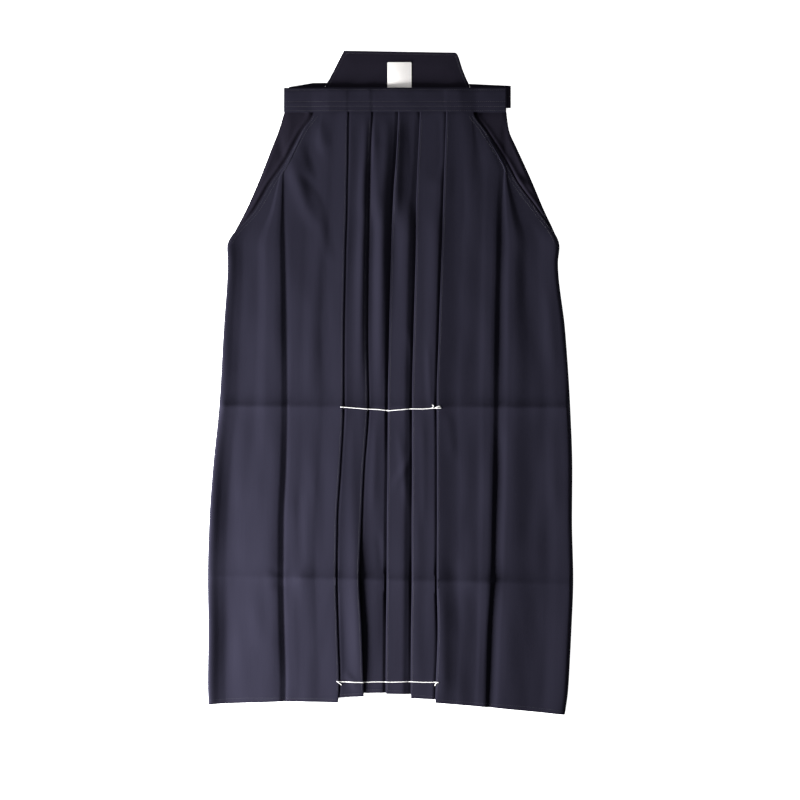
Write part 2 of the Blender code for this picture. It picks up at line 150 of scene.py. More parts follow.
# Millimetres: the side panels' own ridges. A row is where it starts from, how far off that it lies, and its
# height over the panel's rest.
LEFT_RIDGES = (
    ("edge", 0, 0.0),
    ("edge", 0.8, 4.4),
    ("edge", 2.0, 7.4),
    ("edge", 4, 7.9),
    ("edge", 18, 3.2),
    ("edge", 31, 0.4),
    ("edge", 55, 2.0),
    ("crease", -34, 4.4),
    ("crease", -20, 5.0),
    ("crease", -11, 4.4),
    ("crease", -4, 1.7),
    ("crease", 0, 0.3),
    ("crease", 5, 1.3),
    ("crease", 12, 1.9),
    ("crease", 27, 2.3),
    ("crease", 40, 2.0),
)
RIGHT_RIDGES = (
    ("edge", 0, 0.0),
    ("edge", 1.2, 1.6),
    ("edge", 3.2, 3.2),
    ("edge", 7.5, 4.2),
    ("edge", 22, 3.3),
    ("edge", 42, 1.4),
    ("edge", 60, 1.6),
    ("crease", -26, 3.6),
    ("crease", -16, 3.2),
    ("crease", -6, 1.1),
    ("crease", 0, 0.3),
    ("crease", 4, 1.6),
    ("crease", 10, 4.2),
    ("crease", 17, 4.8),
    ("crease", 27, 4.5),
    ("crease", 40, 3.0),
)
OUTER_ROOM = 108 * MM
INNER_ROOM = 57 * MM
CREASE_SHARE = 0.14
LAST_RIDGE = 1.7

# How strongly the side edge's rim stands out at each place along the garment, in millimetres.
RIM_LEFT = (
    (-512, 1.0), (-400, 1.08), (-338, 0.95), (-300, 0.72), (-262, 0.9), (-190, 1.1), (-120, 0.8),
    (-60, 0.66), (222, 0.6), (262, 0.0),
)
RIM_RIGHT = ((-512, 1.0), (-300, 0.85), (-150, 1.0), (60, 0.9), (222, 1.0), (262, 0.0))

SIDE_STEPS = (1, 2, 3, 5, 5, 8, 8, 5, 4, 5, 4, 3, 5, 4, 5, 5, 7, 9)
COVERED_STEPS = 4
SEEN_STEPS = 18
RETURN_STEPS = 5
END_STEPS = 10

# Puffed pleats, from the outermost to the innermost of each half. On the right they sink into the hollow under
# the waistband's middle, by this share.
PUFF_SHARES_LEFT, PUFF_CROWNS_LEFT = (0.0, 0.75, 1.3), (0.5, 0.78, 0.6)
PUFF_SHARES_RIGHT, PUFF_CROWNS_RIGHT = (0.0, 0.8, 0.75), (0.5, 0.25, 0.38)
LIFT_REACH = 0.9
HOLLOW = 0.75
HOLLOW_REACH = (235 * MM, 300 * MM)

# Millimetres: soft folds, each a ridge or, where its height is below 0, a trough. A row is its panel, its two
# ends, its half-width and its height.
SOFT_FOLDS = (
    ("side_left", -136, 392, -88, 276, 13, -3.4),
    ("side_left", -163, 362, -124, 256, 11, 2.8),
    ("side_left", -146, 334, -84, 282, 7, -1.2),
    ("side_left", -118, 420, -104, 372, 9, 1.2),
    ("side_left", -112, 262, -96, 190, 9, 0.9),
    ("side_left", -106, 205, -104, 20, 7, -0.8),
    ("side_left", -128, 150, -132, -20, 12, 0.9),
    ("side_left", -119, -140, -117, -290, 10, 0.9),
    ("side_left", -146, -170, -140, -300, 8, -0.8),
    ("side_left", -100, -330, -118, -440, 12, 0.8),
    ("side_left", -152, 428, -130, 322, 20, 2.8),
    ("side_left", -186, -292, -178, -330, 11, -1.4),
    ("side_left", -222, -345, -184, -478, 15, 0.8),
    ("side_left", -222, 190, -236, 40, 14, 0.8),
    ("side_left", -196, -420, -176, -500, 16, -1.0),
    ("side_left", -236, -60, -240, -200, 14, 0.9),
    ("p1", -44, 350, -48, 270, 6, 0.9),
    ("p1", -60, -60, -62, -280, 8, 0.8),
    ("p1", -72, -470, -54, -490, 4, 1.8),
    ("p2", -24, -60, -28, -200, 6, 0.7),
    ("p2", -20, -240, -14, -300, 6, -0.7),
    ("p1", -46, 250, -50, -10, 9, 1.3),
    ("p2", -9, 250, -11, 0, 10, 2.4),
    ("p2", -26, 410, -23, 262, 9, 3.8),
    ("p3", 12, 424, 8, 268, 9, 4.6),
    ("p3", 38, 430, 36, 262, 10, -2.4),
    ("p4", 72, 430, 72, 330, 12, -2.6),
    ("p3", 36, -112, 6, -166, 6, 1.3),
    ("p3", 30, 84, 44, -10, 6, 1.2),
    ("p3", 14, -80, 26, -190, 6, 0.8),
    ("p4", 52, -60, 54, -220, 6, 0.7),
    ("p4", 60, 60, 64, -40, 5, 0.8),
    ("p4", 43, 250, 43, -10, 10, 1.0),
    ("p4", 42, -60, 41, -500, 11, 1.2),
    ("side_right", 112, 330, 108, 160, 12, -0.9),
    ("side_right", 142, 340, 138, 210, 12, 0.9),
    ("side_right", 96, -270, 112, -400, 12, -1.0),
    ("side_right", 81, -340, 84, -500, 11, 2.4),
    ("side_right", 128, -230, 128, -330, 12, 0.9),
    ("side_right", 92, -50, 100, -120, 8, 0.8),
    ("side_right", 208, 215, 236, 40, 15, -1.2),
    ("side_right", 252, 150, 262, 20, 9, 0.9),
    ("side_right", 214, -90, 222, -260, 15, -0.9),
    ("side_right", 255, -60, 262, -200, 10, 0.9),
    ("side_right", 98, -330, 100, -520, 24, 2.6),
    ("side_right", 166, 400, 160, 230, 30, 1.3),
    ("inside_left", -170, 424, -181, 400, 4, -1.4),
    ("inside_left", -181, 402, -171, 351, 4, -1.6),
    ("inside_left", -206, 326, -190, 368, 5, 1.2),
    ("inside_left", -160, 424, -166, 372, 6, 0.9),
    ("inside_right", 183, 412, 182, 352, 4, -1.6),
    ("inside_right", 200, 327, 230, 309, 4, 1.8),
    ("inside_right", 198, 384, 216, 334, 6, 1.2),
)
SOFT_FLOOR = 0.35 * MM
INSIDE_REST = 1.2 * MM
UNDER_SHARE = 0.4

# Beside each pleat's fold the pleat below rises close to it, so that only a thin dark line is left. The cross
# creases are weaker on the pleats.
SHOULDER = 1.9 * MM
SHOULDER_REACH = 3.5 * MM
SHOULDER_FADE = 16 * MM
CREASE_ON_PLEATS = 0.75

# The back cloth's soft roll beside each slit, outside the front's edge.
SLIT_ROLL = {"left": 2.1 * MM, "right": 1.4 * MM}
SLIT_ROLL_PLACE = 6 * MM
SLIT_ROLL_REACH = 4 * MM
WINDOW = 6 * MM

# Millimetres: the ridges across the cloth, from its folding for storage: place along the garment at the left
# and right edges, height, and how far it falls away above and below.
CROSS_CREASES = (
    (-37.5, -40.0, 4.5, 10.5, 26.0),
    (-309.0, -322.0, 7.0, 13.0, 30.0),
)
# How strong each of them is along its run, from left to right.
CREASE_RUNS = (
    ((-290, 0.85), (-215, 0.9), (-150, 0.7), (-100, 0.75), (90, 0.8), (150, 1.0), (290, 1.05)),
    (
        (-290, 0.2), (-205, 0.35), (-184, 0.7), (-164, 0.5), (-140, 1.0), (-60, 1.0), (60, 1.0),
        (150, 1.1), (185, 0.6), (290, 0.4),
    ),
)
CREASE_ROUND = 1.8 * MM
ROW_STEP = 6 * MM
CREASE_ROW_STEP = 2.5 * MM
CREASE_ROW_REACH = 21 * MM
LEAST_ROW_STEP = 1.5 * MM

# Millimetres: slow unevenness of the whole cloth: wavelength across, wavelength along, phase, height.
UNEVENNESS = (
    (74, 310, 0.4, 0.22),
    (47, 190, 1.9, 0.16),
    (118, 133, 3.1, 0.18),
    (31, 240, 4.4, 0.10),
    (210, 88, 5.2, 0.14),
)

# Millimetres: the hem's line on each panel and across the back.
HEM_LEFT = ((-514.0, -509.5, -511.0), (-504.5, -501.5), (-496.0, -496.0))
HEM_RIGHT = ((-531.0, -519.0, -511.5), (-507.5, -504.5), (-498.5, -497.5))
HEM_RETURN_C = -497.0
BACK_HEM = (
    (-291, -510.0),
    (-170, -505.5),
    (-80, -504.0),
    (-40, -495.0),
    (10, -491.5),
    (35, -493.0),
    (75, -504.0),
    (160, -515.0),
    (279, -527.0),
)
HEM_REACH = -440 * MM
BACK_STEPS_LEFT, BACK_STEPS_RIGHT = (16, 24), (3, 5, 22, 16)

# Where the sewing runs: beside the pleats' folds, beside the slits' edges, and in millimetres along the hems.
EDGE_STITCH = 2.6 * MM
PLEAT_SEAM_ENDS = (-492 * MM, 431 * MM)
SLIT_SEAM_ENDS = (222 * MM, 430 * MM)
SLIT_STITCHES = (2.4 * MM, 8.0 * MM)
STITCH_HEIGHT = 0.8
STITCH_RISE = 0.1
HEM_SEAMS = (
    ((-289, -507.0), (-226, -503.8), (-168, -503.9), (-87, -505.2)),
    ((-81, -498.4), (-46, -496.2)),
    ((-40, -490.6), (-10, -490.6)),
    ((-4, -491.8), (30, -492.6)),
    ((36, -498.8), (70, -501.6)),
    ((75, -506.0), (157, -513.2), (218, -518.0), (275, -524.6)),
)

# Millimetres: the waistband's run over the front, with the small steps that the pleats press into it.
BAND_RUN = (
    (-170.0, 5.7),
    (-160.0, 5.9),
    (-128.0, 5.8),
    (-112.0, 7.4),
    (-96.0, 9.2),
    (-71.0, 9.6),
    (-67.0, 9.1),
    (-34.0, 9.5),
    (-29.0, 8.9),
    (4.0, 9.3),
    (15.0, 9.5),
    (50.0, 9.3),
    (86.0, 9.0),
    (90.0, 9.4),
    (108.0, 9.2),
    (124.0, 7.4),
    (140.0, 5.8),
    (172.0, 5.9),
    (184.5, 5.7),
)
BAND_RETURN_LEFT = -112 * MM
BAND_RETURN_RIGHT = 134 * MM
BAND_STITCH_ROWS = (434.6, 441.2, 449.0, 467.6)
BAND_STITCH_LEFT, BAND_STITCH_RIGHT = -168 * MM, 183 * MM
# The band's upper edge rolls down over this length, by this share of its height.
BAND_ROLL = 4.6 * MM
BAND_ROLL_SHARE = 0.42
BAND_STEP = 2.2 * MM
BAND_RETURN_STEPS = 12
BAND_ROLL_ROWS = 8
BAND_ROWS = 12
# It is pulled in along its stitching, and stands up and waves a little between the rows.
BAND_PULL, BAND_PULL_REACH = 0.30 * MM, 1.2 * MM
BAND_STAND = 0.75 * MM
BAND_FULLNESS, BAND_WAVE = 0.35 * MM, 0.20 * MM
BACK_TIE_FOLD_LEFT = -162.5 * MM
BACK_TIE_FOLD_RIGHT = 192.5 * MM
BACK_TIE_ROWS = 9
BACK_TIE_STEPS = 16
BACK_TIE_TOPS = {"left": ((-163, 472.8), (-124, 479.4), (-104, 479.6)), "right": ((126, 478.0), (193, 474.9))}

BOARD_COLUMNS = ("y", "left", "right")
BOARD_SECTIONS = (
    (439.3, -108.0, 128.0),
    (471.5, -105.0, 127.0),
    (487.5, -96.8, 121.0),
    (500.5, -90.2, 116.0),
    (524.0, -78.1, 108.8),
    (529.0, -75.5, 106.5),
    (531.0, -74.5, 103.5),
)
BOARD_FOOT, BOARD_TOP = 439.3 * MM, 531 * MM
BOARD_STITCH_INSET = 4.2 * MM
# The board's top edge runs down to the right by this much, over this stretch.
BOARD_SLOPE = 3.0 * MM
BOARD_SLOPE_START, BOARD_SLOPE_RUN = -75 * MM, 180 * MM
BOARD_GROOVE = 0.30 * MM
BOARD_CUTS = 39
BOARD_PLUMP_REACH = 20 * MM
LABEL_LEFT, LABEL_RIGHT = -4.8 * MM, 33.6 * MM
LABEL_BOTTOM, LABEL_TOP = 467 * MM, 512.2 * MM
LABEL_REST = BOARD_THICKNESS + 1.0 * MM
LABEL_CORNER = 1.6 * MM
LABEL_RIM = 0.15 * MM
LABEL_SEAM_FOOT = 473 * MM
LABEL_BORDER = (0.0022, 0.0027)
LABEL_BORDER_COLOUR = (0.16, 0.15, 0.18, 1.0)

# The sheets: how each is held, what it rests on, and what is sewn to it.
FRONTS = ["cloth_front_left", "cloth_front_right"]
BASTING = ["basting_upper", "basting_lower", *(f"basting_tail_{number}" for number in range(1, 5))]
SHEETS = {
    "cloth_back_left": ("laid", ["floor"], []),
    "cloth_back_right": ("laid", ["floor"], []),
    "cloth_front_left": ("folded", ["cloth_back_left"], ["stitches_front_left", *BASTING]),
    "cloth_front_right": ("folded", ["cloth_back_right"], ["stitches_front_right"]),
    "cloth_band": ("folded", FRONTS, ["stitches_band"]),
    "cloth_back_tie_left": ("folded", ["floor"], []),
    "cloth_back_tie_right": ("folded", ["floor"], []),
    "cloth_label": ("laid", ["cloth_board"], ["stitches_label"]),
}

# The basting threads: how far apart their points lie, how far to each side the cloth's top is looked for, and how
# high they lie on it as a share of their radius. Then, in millimetres, each one's points from end to end.
BASTING_STEP = 3 * MM
BASTING_LOOK = 1.5 * MM
BASTING_RISE = 0.9
UPPER_BASTING = (
    (-80, -38.6),
    (-62, -40.0),
    (-39, -41.8),
    (-20, -42.6),
    (-2, -44.6),
    (16, -43.0),
    (32, -41.6),
    (52, -41.8),
    (68, -40.6),
    (81, -40.4),
)
LOWER_BASTING = (
    (-86, -477.2),
    (-66, -478.0),
    (-44, -478.8),
    (-20, -478.0),
    (4, -478.4),
    (30, -477.6),
    (54, -478.6),
    (77, -478.4),
)
BASTING_TAILS = (
    ((66, -40.6), (69, -37.6), (67, -35.2)),
    ((72, -40.2), (75, -38.2), (79, -37.4)),
    ((-84, -477.4), (-81, -480.6), (-78, -483.0)),
    ((74, -478.4), (72, -481.2), (71, -483.6)),
)

# Stage: the floor, the lights, and the part of the floor that the camera's frame takes in.
FLOOR_SIZE = 24
FLOOR_GAP = 0.3 * MM
KEY_PLACE, KEY_SIZE = (-1.16, -0.62, 0.43), 0.55
UPPER_PLACE, UPPER_SIZE = (0.12, 1.25, 0.55), 0.7
FRAME_WIDTH, FRAME_CENTRE = 1.28, (15.2 * MM, -27.6 * MM)
SENSOR_WIDTH = 36


def colour_setting(name, description, default):
    return bpy.props.FloatVectorProperty(
        name=name, description=description, subtype="COLOR", size=3, min=0.0, max=1.0, default=default
    )


def length_setting(name, description, default, least, most):
    """A length in metres, with its least and its most."""
    return bpy.props.FloatProperty(
        name=name,
        description=description,
        subtype="DISTANCE",
        unit="LENGTH",
        min=least,
        max=most,
        precision=5,
        default=default,
    )


class HakamaCloth(bpy.types.PropertyGroup):
    """The cloth's colours and weave."""

    colour: colour_setting("Cloth", "Colour of the cloth's outer face", (0.0108, 0.0102, 0.0169))
    inside: colour_setting(
        "Inside", "Colour of the cloth's inner face, which shows in the slits", (0.0090, 0.0079, 0.0128)
    )
    label: colour_setting("Label", "Colour of the label's ground", (0.93, 0.90, 0.88))
    weave: length_setting("Weave", "Distance between two ribs of the twill", 0.0008, 0.0002, 0.003)
    folds: bpy.props.FloatProperty(
        name="Soft folds",
        description="How strongly the soft folds and storage creases stand out",
        subtype="FACTOR",
        min=0.0,
        max=2.0,
        default=1.0,
    )


class HakamaSewing(bpy.types.PropertyGroup):
    """The machine stitches and the basting threads."""

    stitch_length: length_setting("Stitch", "Length of one machine stitch", 0.0024, 0.001, 0.01)
    stitch_gap: length_setting("Gap", "Gap between two machine stitches", 0.0008, 0.0002, 0.01)
    stitch_width: length_setting("Thread", "Thickness of the sewing thread", 0.0004, 0.0002, 0.002)
    thread: colour_setting("Sewing thread", "Colour of the sewing thread", (0.0121, 0.0115, 0.0189))
    basting_radius: length_setting(
        "Basting thread", "Radius of the soft cotton that holds the pleats", 0.0006, 0.0002, 0.002
    )
    basting: colour_setting("Basting", "Colour of the basting thread", (0.78, 0.77, 0.76))


class HakamaStage(bpy.types.PropertyGroup):
    """The floor, the lights and the camera."""

    floor: colour_setting("Floor", "Colour of the plain floor", (0.93, 0.93, 0.93))
    key_power: bpy.props.FloatProperty(
        name="Key light",
        description="Power of the low, soft light from the lower left, in watts",
        min=0.0,
        default=149.0,
    )
    upper_power: bpy.props.FloatProperty(
        name="Upper light",
        description="Power of the weak light beyond the waist, in watts",
        min=0.0,
        default=5.5,
    )
    fill: bpy.props.FloatProperty(
        name="Fill",
        description="Strength of the even light from all round",
        min=0.0,
        default=0.12,
    )
    camera_height: length_setting("Camera height", "Height of the camera over the floor", 4.0, 0.5, 20.0)


# Helpers for shapes


def deselect_all():
    for item in bpy.context.selected_objects:
        item.select_set(False)


def eased(t):
    """From 0 to 1 with a level start and end."""
    t = np.clip(t, 0.0, 1.0)
    return t * t * (3 - 2 * t)


def along(stations, values, at):
    """A smooth curve through the values, which never swings past them."""
    stations, values, at = (np.asarray(item, float) for item in (stations, values, at))
    gaps = np.diff(stations)
    slopes = np.diff(values) / gaps
    both = slopes[1:] * slopes[:-1]
    total = np.where(both > 0, slopes[1:] + slopes[:-1], 1.0)
    inner = np.where(both > 0, 2 * both / total, 0.0)
    tangents = np.concatenate([slopes[:1], inner, slopes[-1:]])
    i = np.clip(np.searchsorted(stations, at) - 1, 0, len(gaps) - 1)
    t = np.clip((at - stations[i]) / gaps[i], 0.0, 1.0)
    start = values[i] + tangents[i] * gaps[i] * t * (1 - t) ** 2
    end = -tangents[i + 1] * gaps[i] * t * t * (1 - t)
    return start + end + (values[i + 1] - values[i]) * t * t * (3 - 2 * t)


def table_row(columns, table, y):
    """The named values of a table at one height along the garment, in metres."""
    numbers = np.array(table, float) * MM
    return {name: float(along(numbers[:, 0], numbers[:, i], y)) for i, name in enumerate(columns)}


def bulge(u, start, end, crown):
    """A soft hump from one end of a stretch to the other, highest at its crown."""
    t = np.clip((u - start) / (end - start), 0.0, 1.0)
    t = t ** (math.log(0.5) / math.log(crown))
    return np.sin(np.pi * t) ** 2


def spread(stations, steps):
    """Points from station to station, with the given number of steps between each two."""
    pieces = [
        np.linspace(first, second, count, endpoint=False)
        for first, second, count in zip(stations, stations[1:], steps)
    ]
    return np.concatenate(pieces + [[stations[-1]]])


def soft_folds(panel, x, y):
    """The sum of one panel's soft folds at these points, before it is held off what lies under it."""
    total = np.zeros(np.broadcast(x, y).shape)
    for name, x0, y0, x1, y1, width, height in SOFT_FOLDS:
        if name != panel:
            continue
        start, run = np.array([x0, y0]) * MM, np.array([x1 - x0, y1 - y0]) * MM
        length = np.hypot(*run)
        share = ((x - start[0]) * run[0] + (y - start[1]) * run[1]) / length**2
        off = ((x - start[0]) * run[1] - (y - start[1]) * run[0]) / length
        ends = eased((share + 0.15) / 0.4) * eased((1.15 - share) / 0.4)
        total = total + height * MM * ends * np.exp(-((off / (width * MM)) ** 2))
    return total * bpy.context.scene.hakama_cloth.folds


def cross_creases(x, y):
    """The storage creases across the garment, each a ridge with a sharp crest."""
    total = np.zeros(np.broadcast(x, y).shape)
    for (left, right, height, above, below), run in zip(CROSS_CREASES, CREASE_RUNS):
        line = (left + (right - left) * (x / MM + 290) / 580) * MM
        reach = np.where(y > line, above, below) * MM
        places, shares = np.array(run).T
        away = np.hypot(y - line, CREASE_ROUND) - CREASE_ROUND
        total = total + height * MM * along(places * MM, shares, x) * np.exp(-away / reach)
    return total * bpy.context.scene.hakama_cloth.folds


def unevenness(x, y):
    total = np.zeros(np.broadcast(x, y).shape)
    for across, length, phase, height in UNEVENNESS:
        wave = np.sin(2 * np.pi * x / (across * MM) + phase)
        total = total + height * MM * wave * np.sin(2 * np.pi * y / (length * MM) + 2 * phase)
    return total


def held_off(height):
    """Keeps a panel's own relief from sinking into what it lies on."""
    return (height + np.sqrt(height**2 + SOFT_FLOOR**2) - SOFT_FLOOR) / 2


class PleatedHalf:
    """One section of half of the front. Its u runs from the side edge to the middle, also on the right."""

    def __init__(self, side, y):
        self.side, self.y = side, y
        row = table_row(SECTION_COLUMNS, SECTIONS, y)
        self.depth = row["depth"]
        self.rest = REST_MID + row["rise"]
        self.swell = row["swell"] / MM
        places, shares = np.array(RIM_LEFT if side < 0 else RIM_RIGHT).T
        self.rim = float(along(places * MM, shares, y))
        self.middle = row["c"]
        if side < 0:
            self.edge, self.crease = row["left"], row["crease_left"]
            self.folds = [row["a"], row["b"]]
            self.end = row["c"] + INNER_LAP - SEAM_GAP
            self.ridges, self.hem = LEFT_RIDGES, HEM_LEFT
            self.puffs = [share * row["puff"] for share in PUFF_SHARES_LEFT]
            self.crowns = PUFF_CROWNS_LEFT
            self.lifts = [0.0, row["lift"]]
            self.panels = ("side_left", "p1", "p2")
        else:
            self.edge, self.crease = -row["right"], -row["crease_right"]
            self.folds = [-row["e"], -row["d"], -row["c"]]
            self.end = -(row["c"] + INNER_LAP + SEAM_LAP)
            self.ridges, self.hem = RIGHT_RIDGES, HEM_RIGHT
            sunk = 1.0 - HOLLOW * float(eased((y - HOLLOW_REACH[0]) / (HOLLOW_REACH[1] - HOLLOW_REACH[0])))
            self.puffs = [share * row["puff"] * sunk for share in PUFF_SHARES_RIGHT]
            self.crowns = PUFF_CROWNS_RIGHT
            self.lifts = [0.0, 0.0, 0.0]
            self.panels = ("side_right", "p4", "p3")

    def ground(self, u):
        """What the innermost panel lies on: the back, and on the right also the left leg's edge."""
        if self.side < 0:
            return np.full(np.shape(u), self.rest)
        start = self.middle + INNER_LAP + SEAM_LAP + FOLD_CLEARANCE
        end = self.middle + INNER_LAP + BACK_LAP + LAP_FALL
        return self.rest + 2 * PITCH * (1 - eased((-u - start) / (end - start)))

    def hidden_end(self, k):
        return self.folds[k] - self.depth

    def lifted(self, k, u):
        """How far the fold k stands off the pleat below it."""
        reach = self.depth * LIFT_REACH
        return self.lifts[k] * eased((u - (self.folds[k] - reach)) / reach)

    def ridge_points(self):
        """The side panel's own ups and downs, drawn in where the slit leaves the panel little room."""
        inner = self.hidden_end(0) - RIDGE_END
        crease = max(self.crease, self.edge + CREASE_SHARE * (inner - self.edge))
        outside = min(1.0, (crease - self.edge) / OUTER_ROOM)
        inside = min(1.0, (inner - crease) / INNER_ROOM)
        places = []
        for start, offset, height in self.ridges:
            first = crease if start == "crease" else self.edge
            near = outside if offset < 0 or start == "edge" else inside
            rim = self.rim if start == "edge" else 1.0
            places.append((first + offset * MM * near, height * MM * self.swell * math.sqrt(outside) * rim))
        return places

    def own_relief(self, k, u):
        """What panel k adds over the layers that it lies on."""
        x = -self.side * u
        crossing = cross_creases(x, self.y)
        near_fold = eased((u - self.folds[0] + 2 * self.depth) / self.depth) if k == 0 else 1.0
        crossing = crossing * (1 - (1 - CREASE_ON_PLEATS) * near_fold)
        relief = soft_folds(self.panels[k], x, self.y) + crossing + unevenness(x, self.y)
        if k == 0:
            places = self.ridge_points()
            places.append((self.hidden_end(0) - RIDGE_END, LAST_RIDGE * MM * self.swell))
            places.append((self.hidden_end(0), 0.0))
            stations, heights = np.array(places).T
            near_edge = eased((u - self.edge) / WINDOW)
            return held_off(along(stations, heights, u) + relief * near_edge)
        last = k == len(self.puffs) - 1
        stop = self.folds[k] if k < len(self.folds) else self.middle - FOLD_CLEARANCE
        seen = eased((u - self.folds[k - 1] - FOLD_CLEARANCE / 4) / SHOULDER_REACH)
        shoulder = np.exp(-(u - self.folds[k - 1]) / SHOULDER_FADE)
        if last and self.side < 0:
            seen = seen * eased((stop - u) / SHOULDER_REACH)
            shoulder = shoulder + np.exp(-(stop - u) / SHOULDER_FADE)
        puffed = self.puffs[k] * bulge(u, self.folds[k - 1], stop, self.crowns[k])
        return held_off(puffed + relief + SHOULDER * shoulder) * seen

    def height(self, k, u):
        """Mid-height of panel k, where 0 is the side panel and the last one lies lowest."""
        u = np.asarray(u, float)
        if k == len(self.puffs) - 1:
            return self.ground(u) + self.own_relief(k, u)
        hidden = self.hidden_end(k)
        step = 2 * PITCH + float(self.height(k + 1, hidden) - self.ground(hidden))
        start = hidden - FALL
        fallen = self.ground(u) + step * eased((u - start) / (FALL - FOLD_CLEARANCE))
        stacked = self.height(k + 1, np.minimum(u, self.folds[k])) + 2 * PITCH + self.lifted(k, u)
        return np.where(u > hidden, stacked, fallen) + self.own_relief(k, u)

    def side_form(self, u):
        """The side panel's form over its rest, which the back below it follows in part."""
        reach = self.hidden_end(0) - FALL
        inside = eased((u - self.edge) / WINDOW) * eased((reach - u) / WINDOW)
        relief = self.own_relief(0, np.clip(u, self.edge, reach))
        return np.where((u > self.edge) & (u < reach), relief, 0.0) * inside

    def returned(self, k, u):
        """Mid-height of the hidden layer that runs back in under fold k."""
        if k == len(self.puffs) - 1:
            return np.full(np.shape(u), self.rest + PITCH)
        return self.height(k + 1, u) + PITCH + self.lifted(k, u)

    def panel_stations(self, k):
        """Where the section has its points on panel k, from its first end to its fold."""
        if k == 0:
            stations = [place[0] for place in self.ridge_points()]
            hidden = self.hidden_end(0)
            stations += [hidden - RIDGE_END, hidden, self.folds[0] - FOLD_RADIUS]
            return spread(stations, SIDE_STEPS)
        start = self.hidden_end(k - 1) + FOLD_RADIUS
        seen = self.folds[k - 1]
        if k < len(self.folds):
            return spread([start, seen, self.folds[k] - FOLD_RADIUS], (COVERED_STEPS, SEEN_STEPS))
        return spread([start, seen, self.middle, self.end], (COVERED_STEPS, SEEN_STEPS, COVERED_STEPS))

    def turn(self, centre, top, low, direction, hem):
        """The points of a knife fold's round edge, between its upper and its lower layer."""
        points = []
        for step in range(1, FOLD_POINTS):
            angle = math.pi * (0.5 - step / FOLD_POINTS)
            reach = FOLD_RADIUS * math.cos(angle)
            height = (top + low) / 2 + (top - low) / 2 * math.sin(angle)
            points.append((centre + direction * reach, height, hem))
        return points

    def path(self):
        """Points along the wall's middle, as rows of u, height and the hem's line at that point."""
        points = []
        last = len(self.puffs) - 1
        for k in range(len(self.puffs)):
            stations = self.panel_stations(k)
            ends = [stations[0], self.crease, stations[-1]] if k == 0 else [stations[0], stations[-1]]
            hems = np.interp(stations, ends, np.array(self.hem[k]) * MM)
            points += list(zip(stations, self.height(k, stations), hems))
            if k == len(self.folds):
                break
            final = k == last
            centre = self.folds[k] - FOLD_RADIUS
            far = self.end if final else self.hidden_end(k) + FOLD_RADIUS
            next_hem = HEM_RETURN_C * MM if final else self.hem[k + 1][0] * MM
            inward = np.linspace(centre, far, RETURN_STEPS + 1)
            heights = self.returned(k, inward)
            points += self.turn(centre, float(self.height(k, centre)), heights[0], 1, hems[-1])
            points += list(zip(inward, heights, np.linspace(hems[-1], next_hem, RETURN_STEPS + 1)))
            if not final:
                points += self.turn(far, heights[-1], float(self.height(k + 1, far)), -1, next_hem)
        return np.array(points)


def drawn_down(y, bottom, hem):
    """Where a point at this height lies once the lowest row has been drawn to the hem's own line."""
    return y + (hem - bottom) * max(0.0, (HEM_REACH - y) / (HEM_REACH - bottom))


def row_heights(bottom, top):
    """The heights of the rows: even ones, and closer ones by each crease across the cloth."""
    rows = list(np.arange(bottom, top, ROW_STEP)) + [top]
    for left, right, *_ in CROSS_CREASES:
        middle = (left + right) / 2 * MM
        rows += list(np.arange(middle - CREASE_ROW_REACH, middle + CREASE_ROW_REACH + MM, CREASE_ROW_STEP))
    rows = sorted(y for y in rows if bottom <= y <= top)
    kept = [rows[0]]
    for y in rows[1:]:
        if y - kept[-1] > LEAST_ROW_STEP:
            kept.append(y)
    kept[-1] = top
    return kept


def front_points(side):
    rows = []
    for y in row_heights(FRONT_BOTTOM, FRONT_TOP):
        path = PleatedHalf(side, y).path()
        rows.append([(-side * u, drawn_down(y, FRONT_BOTTOM, hem), height) for u, height, hem in path])
    return np.array(rows)


def back_points(word, side):
    """The back of one leg, flat on the floor, with soft folds where it shows past the front's slit."""
    rows = []
    hem_x, hem_y = np.array(BACK_HEM).T * MM
    panel = "inside_left" if side < 0 else "inside_right"
    for y in row_heights(BACK_BOTTOM, BACK_TOP):
        row = table_row(BACK_COLUMNS, BACK_SECTIONS, y)
        front = table_row(SECTION_COLUMNS, SECTIONS, y)
        seam = front["c"] + INNER_LAP
        if side < 0:
            edge, cover = row["left"], min(front["left"], seam)
            x = spread([edge, max(cover, edge + SEAM_GAP), seam + BACK_LAP], BACK_STEPS_LEFT)
            z = np.full(len(x), BACK_MID)
            shown = eased((x - edge) / WINDOW) * eased((cover - FOLD_CLEARANCE - x) / WINDOW)
        else:
            edge, cover = row["right"], front["right"]
            lap_end = seam + BACK_LAP + FOLD_CLEARANCE
            stations = [seam + SEAM_GAP, lap_end, lap_end + LAP_SLOPE, min(cover, edge - SEAM_GAP), edge]
            x = spread(stations, BACK_STEPS_RIGHT)
            z = BACK_MID + PITCH * (1 - eased((x - lap_end) / LAP_SLOPE))
            shown = eased((edge - x) / WINDOW) * eased((x - cover - FOLD_CLEARANCE) / WINDOW)
        outward = side * (x - cover)
        beside = np.exp(-(((outward - SLIT_ROLL_PLACE) / SLIT_ROLL_REACH) ** 2))
        beside = beside * eased(outward / SLIT_ROLL_PLACE)
        roll = SLIT_ROLL[word] * beside * eased(side * (edge - x) / (2 * SLIT_ROLL_REACH))
        z = z + held_off(soft_folds(panel, x, y) + INSIDE_REST) * shown + roll
        z = z + UNDER_SHARE * PleatedHalf(side, y).side_form(-side * x)
        rows.append([(a, drawn_down(y, BACK_BOTTOM, np.interp(a, hem_x, hem_y)), b) for a, b in zip(x, z)])
    return np.array(rows)


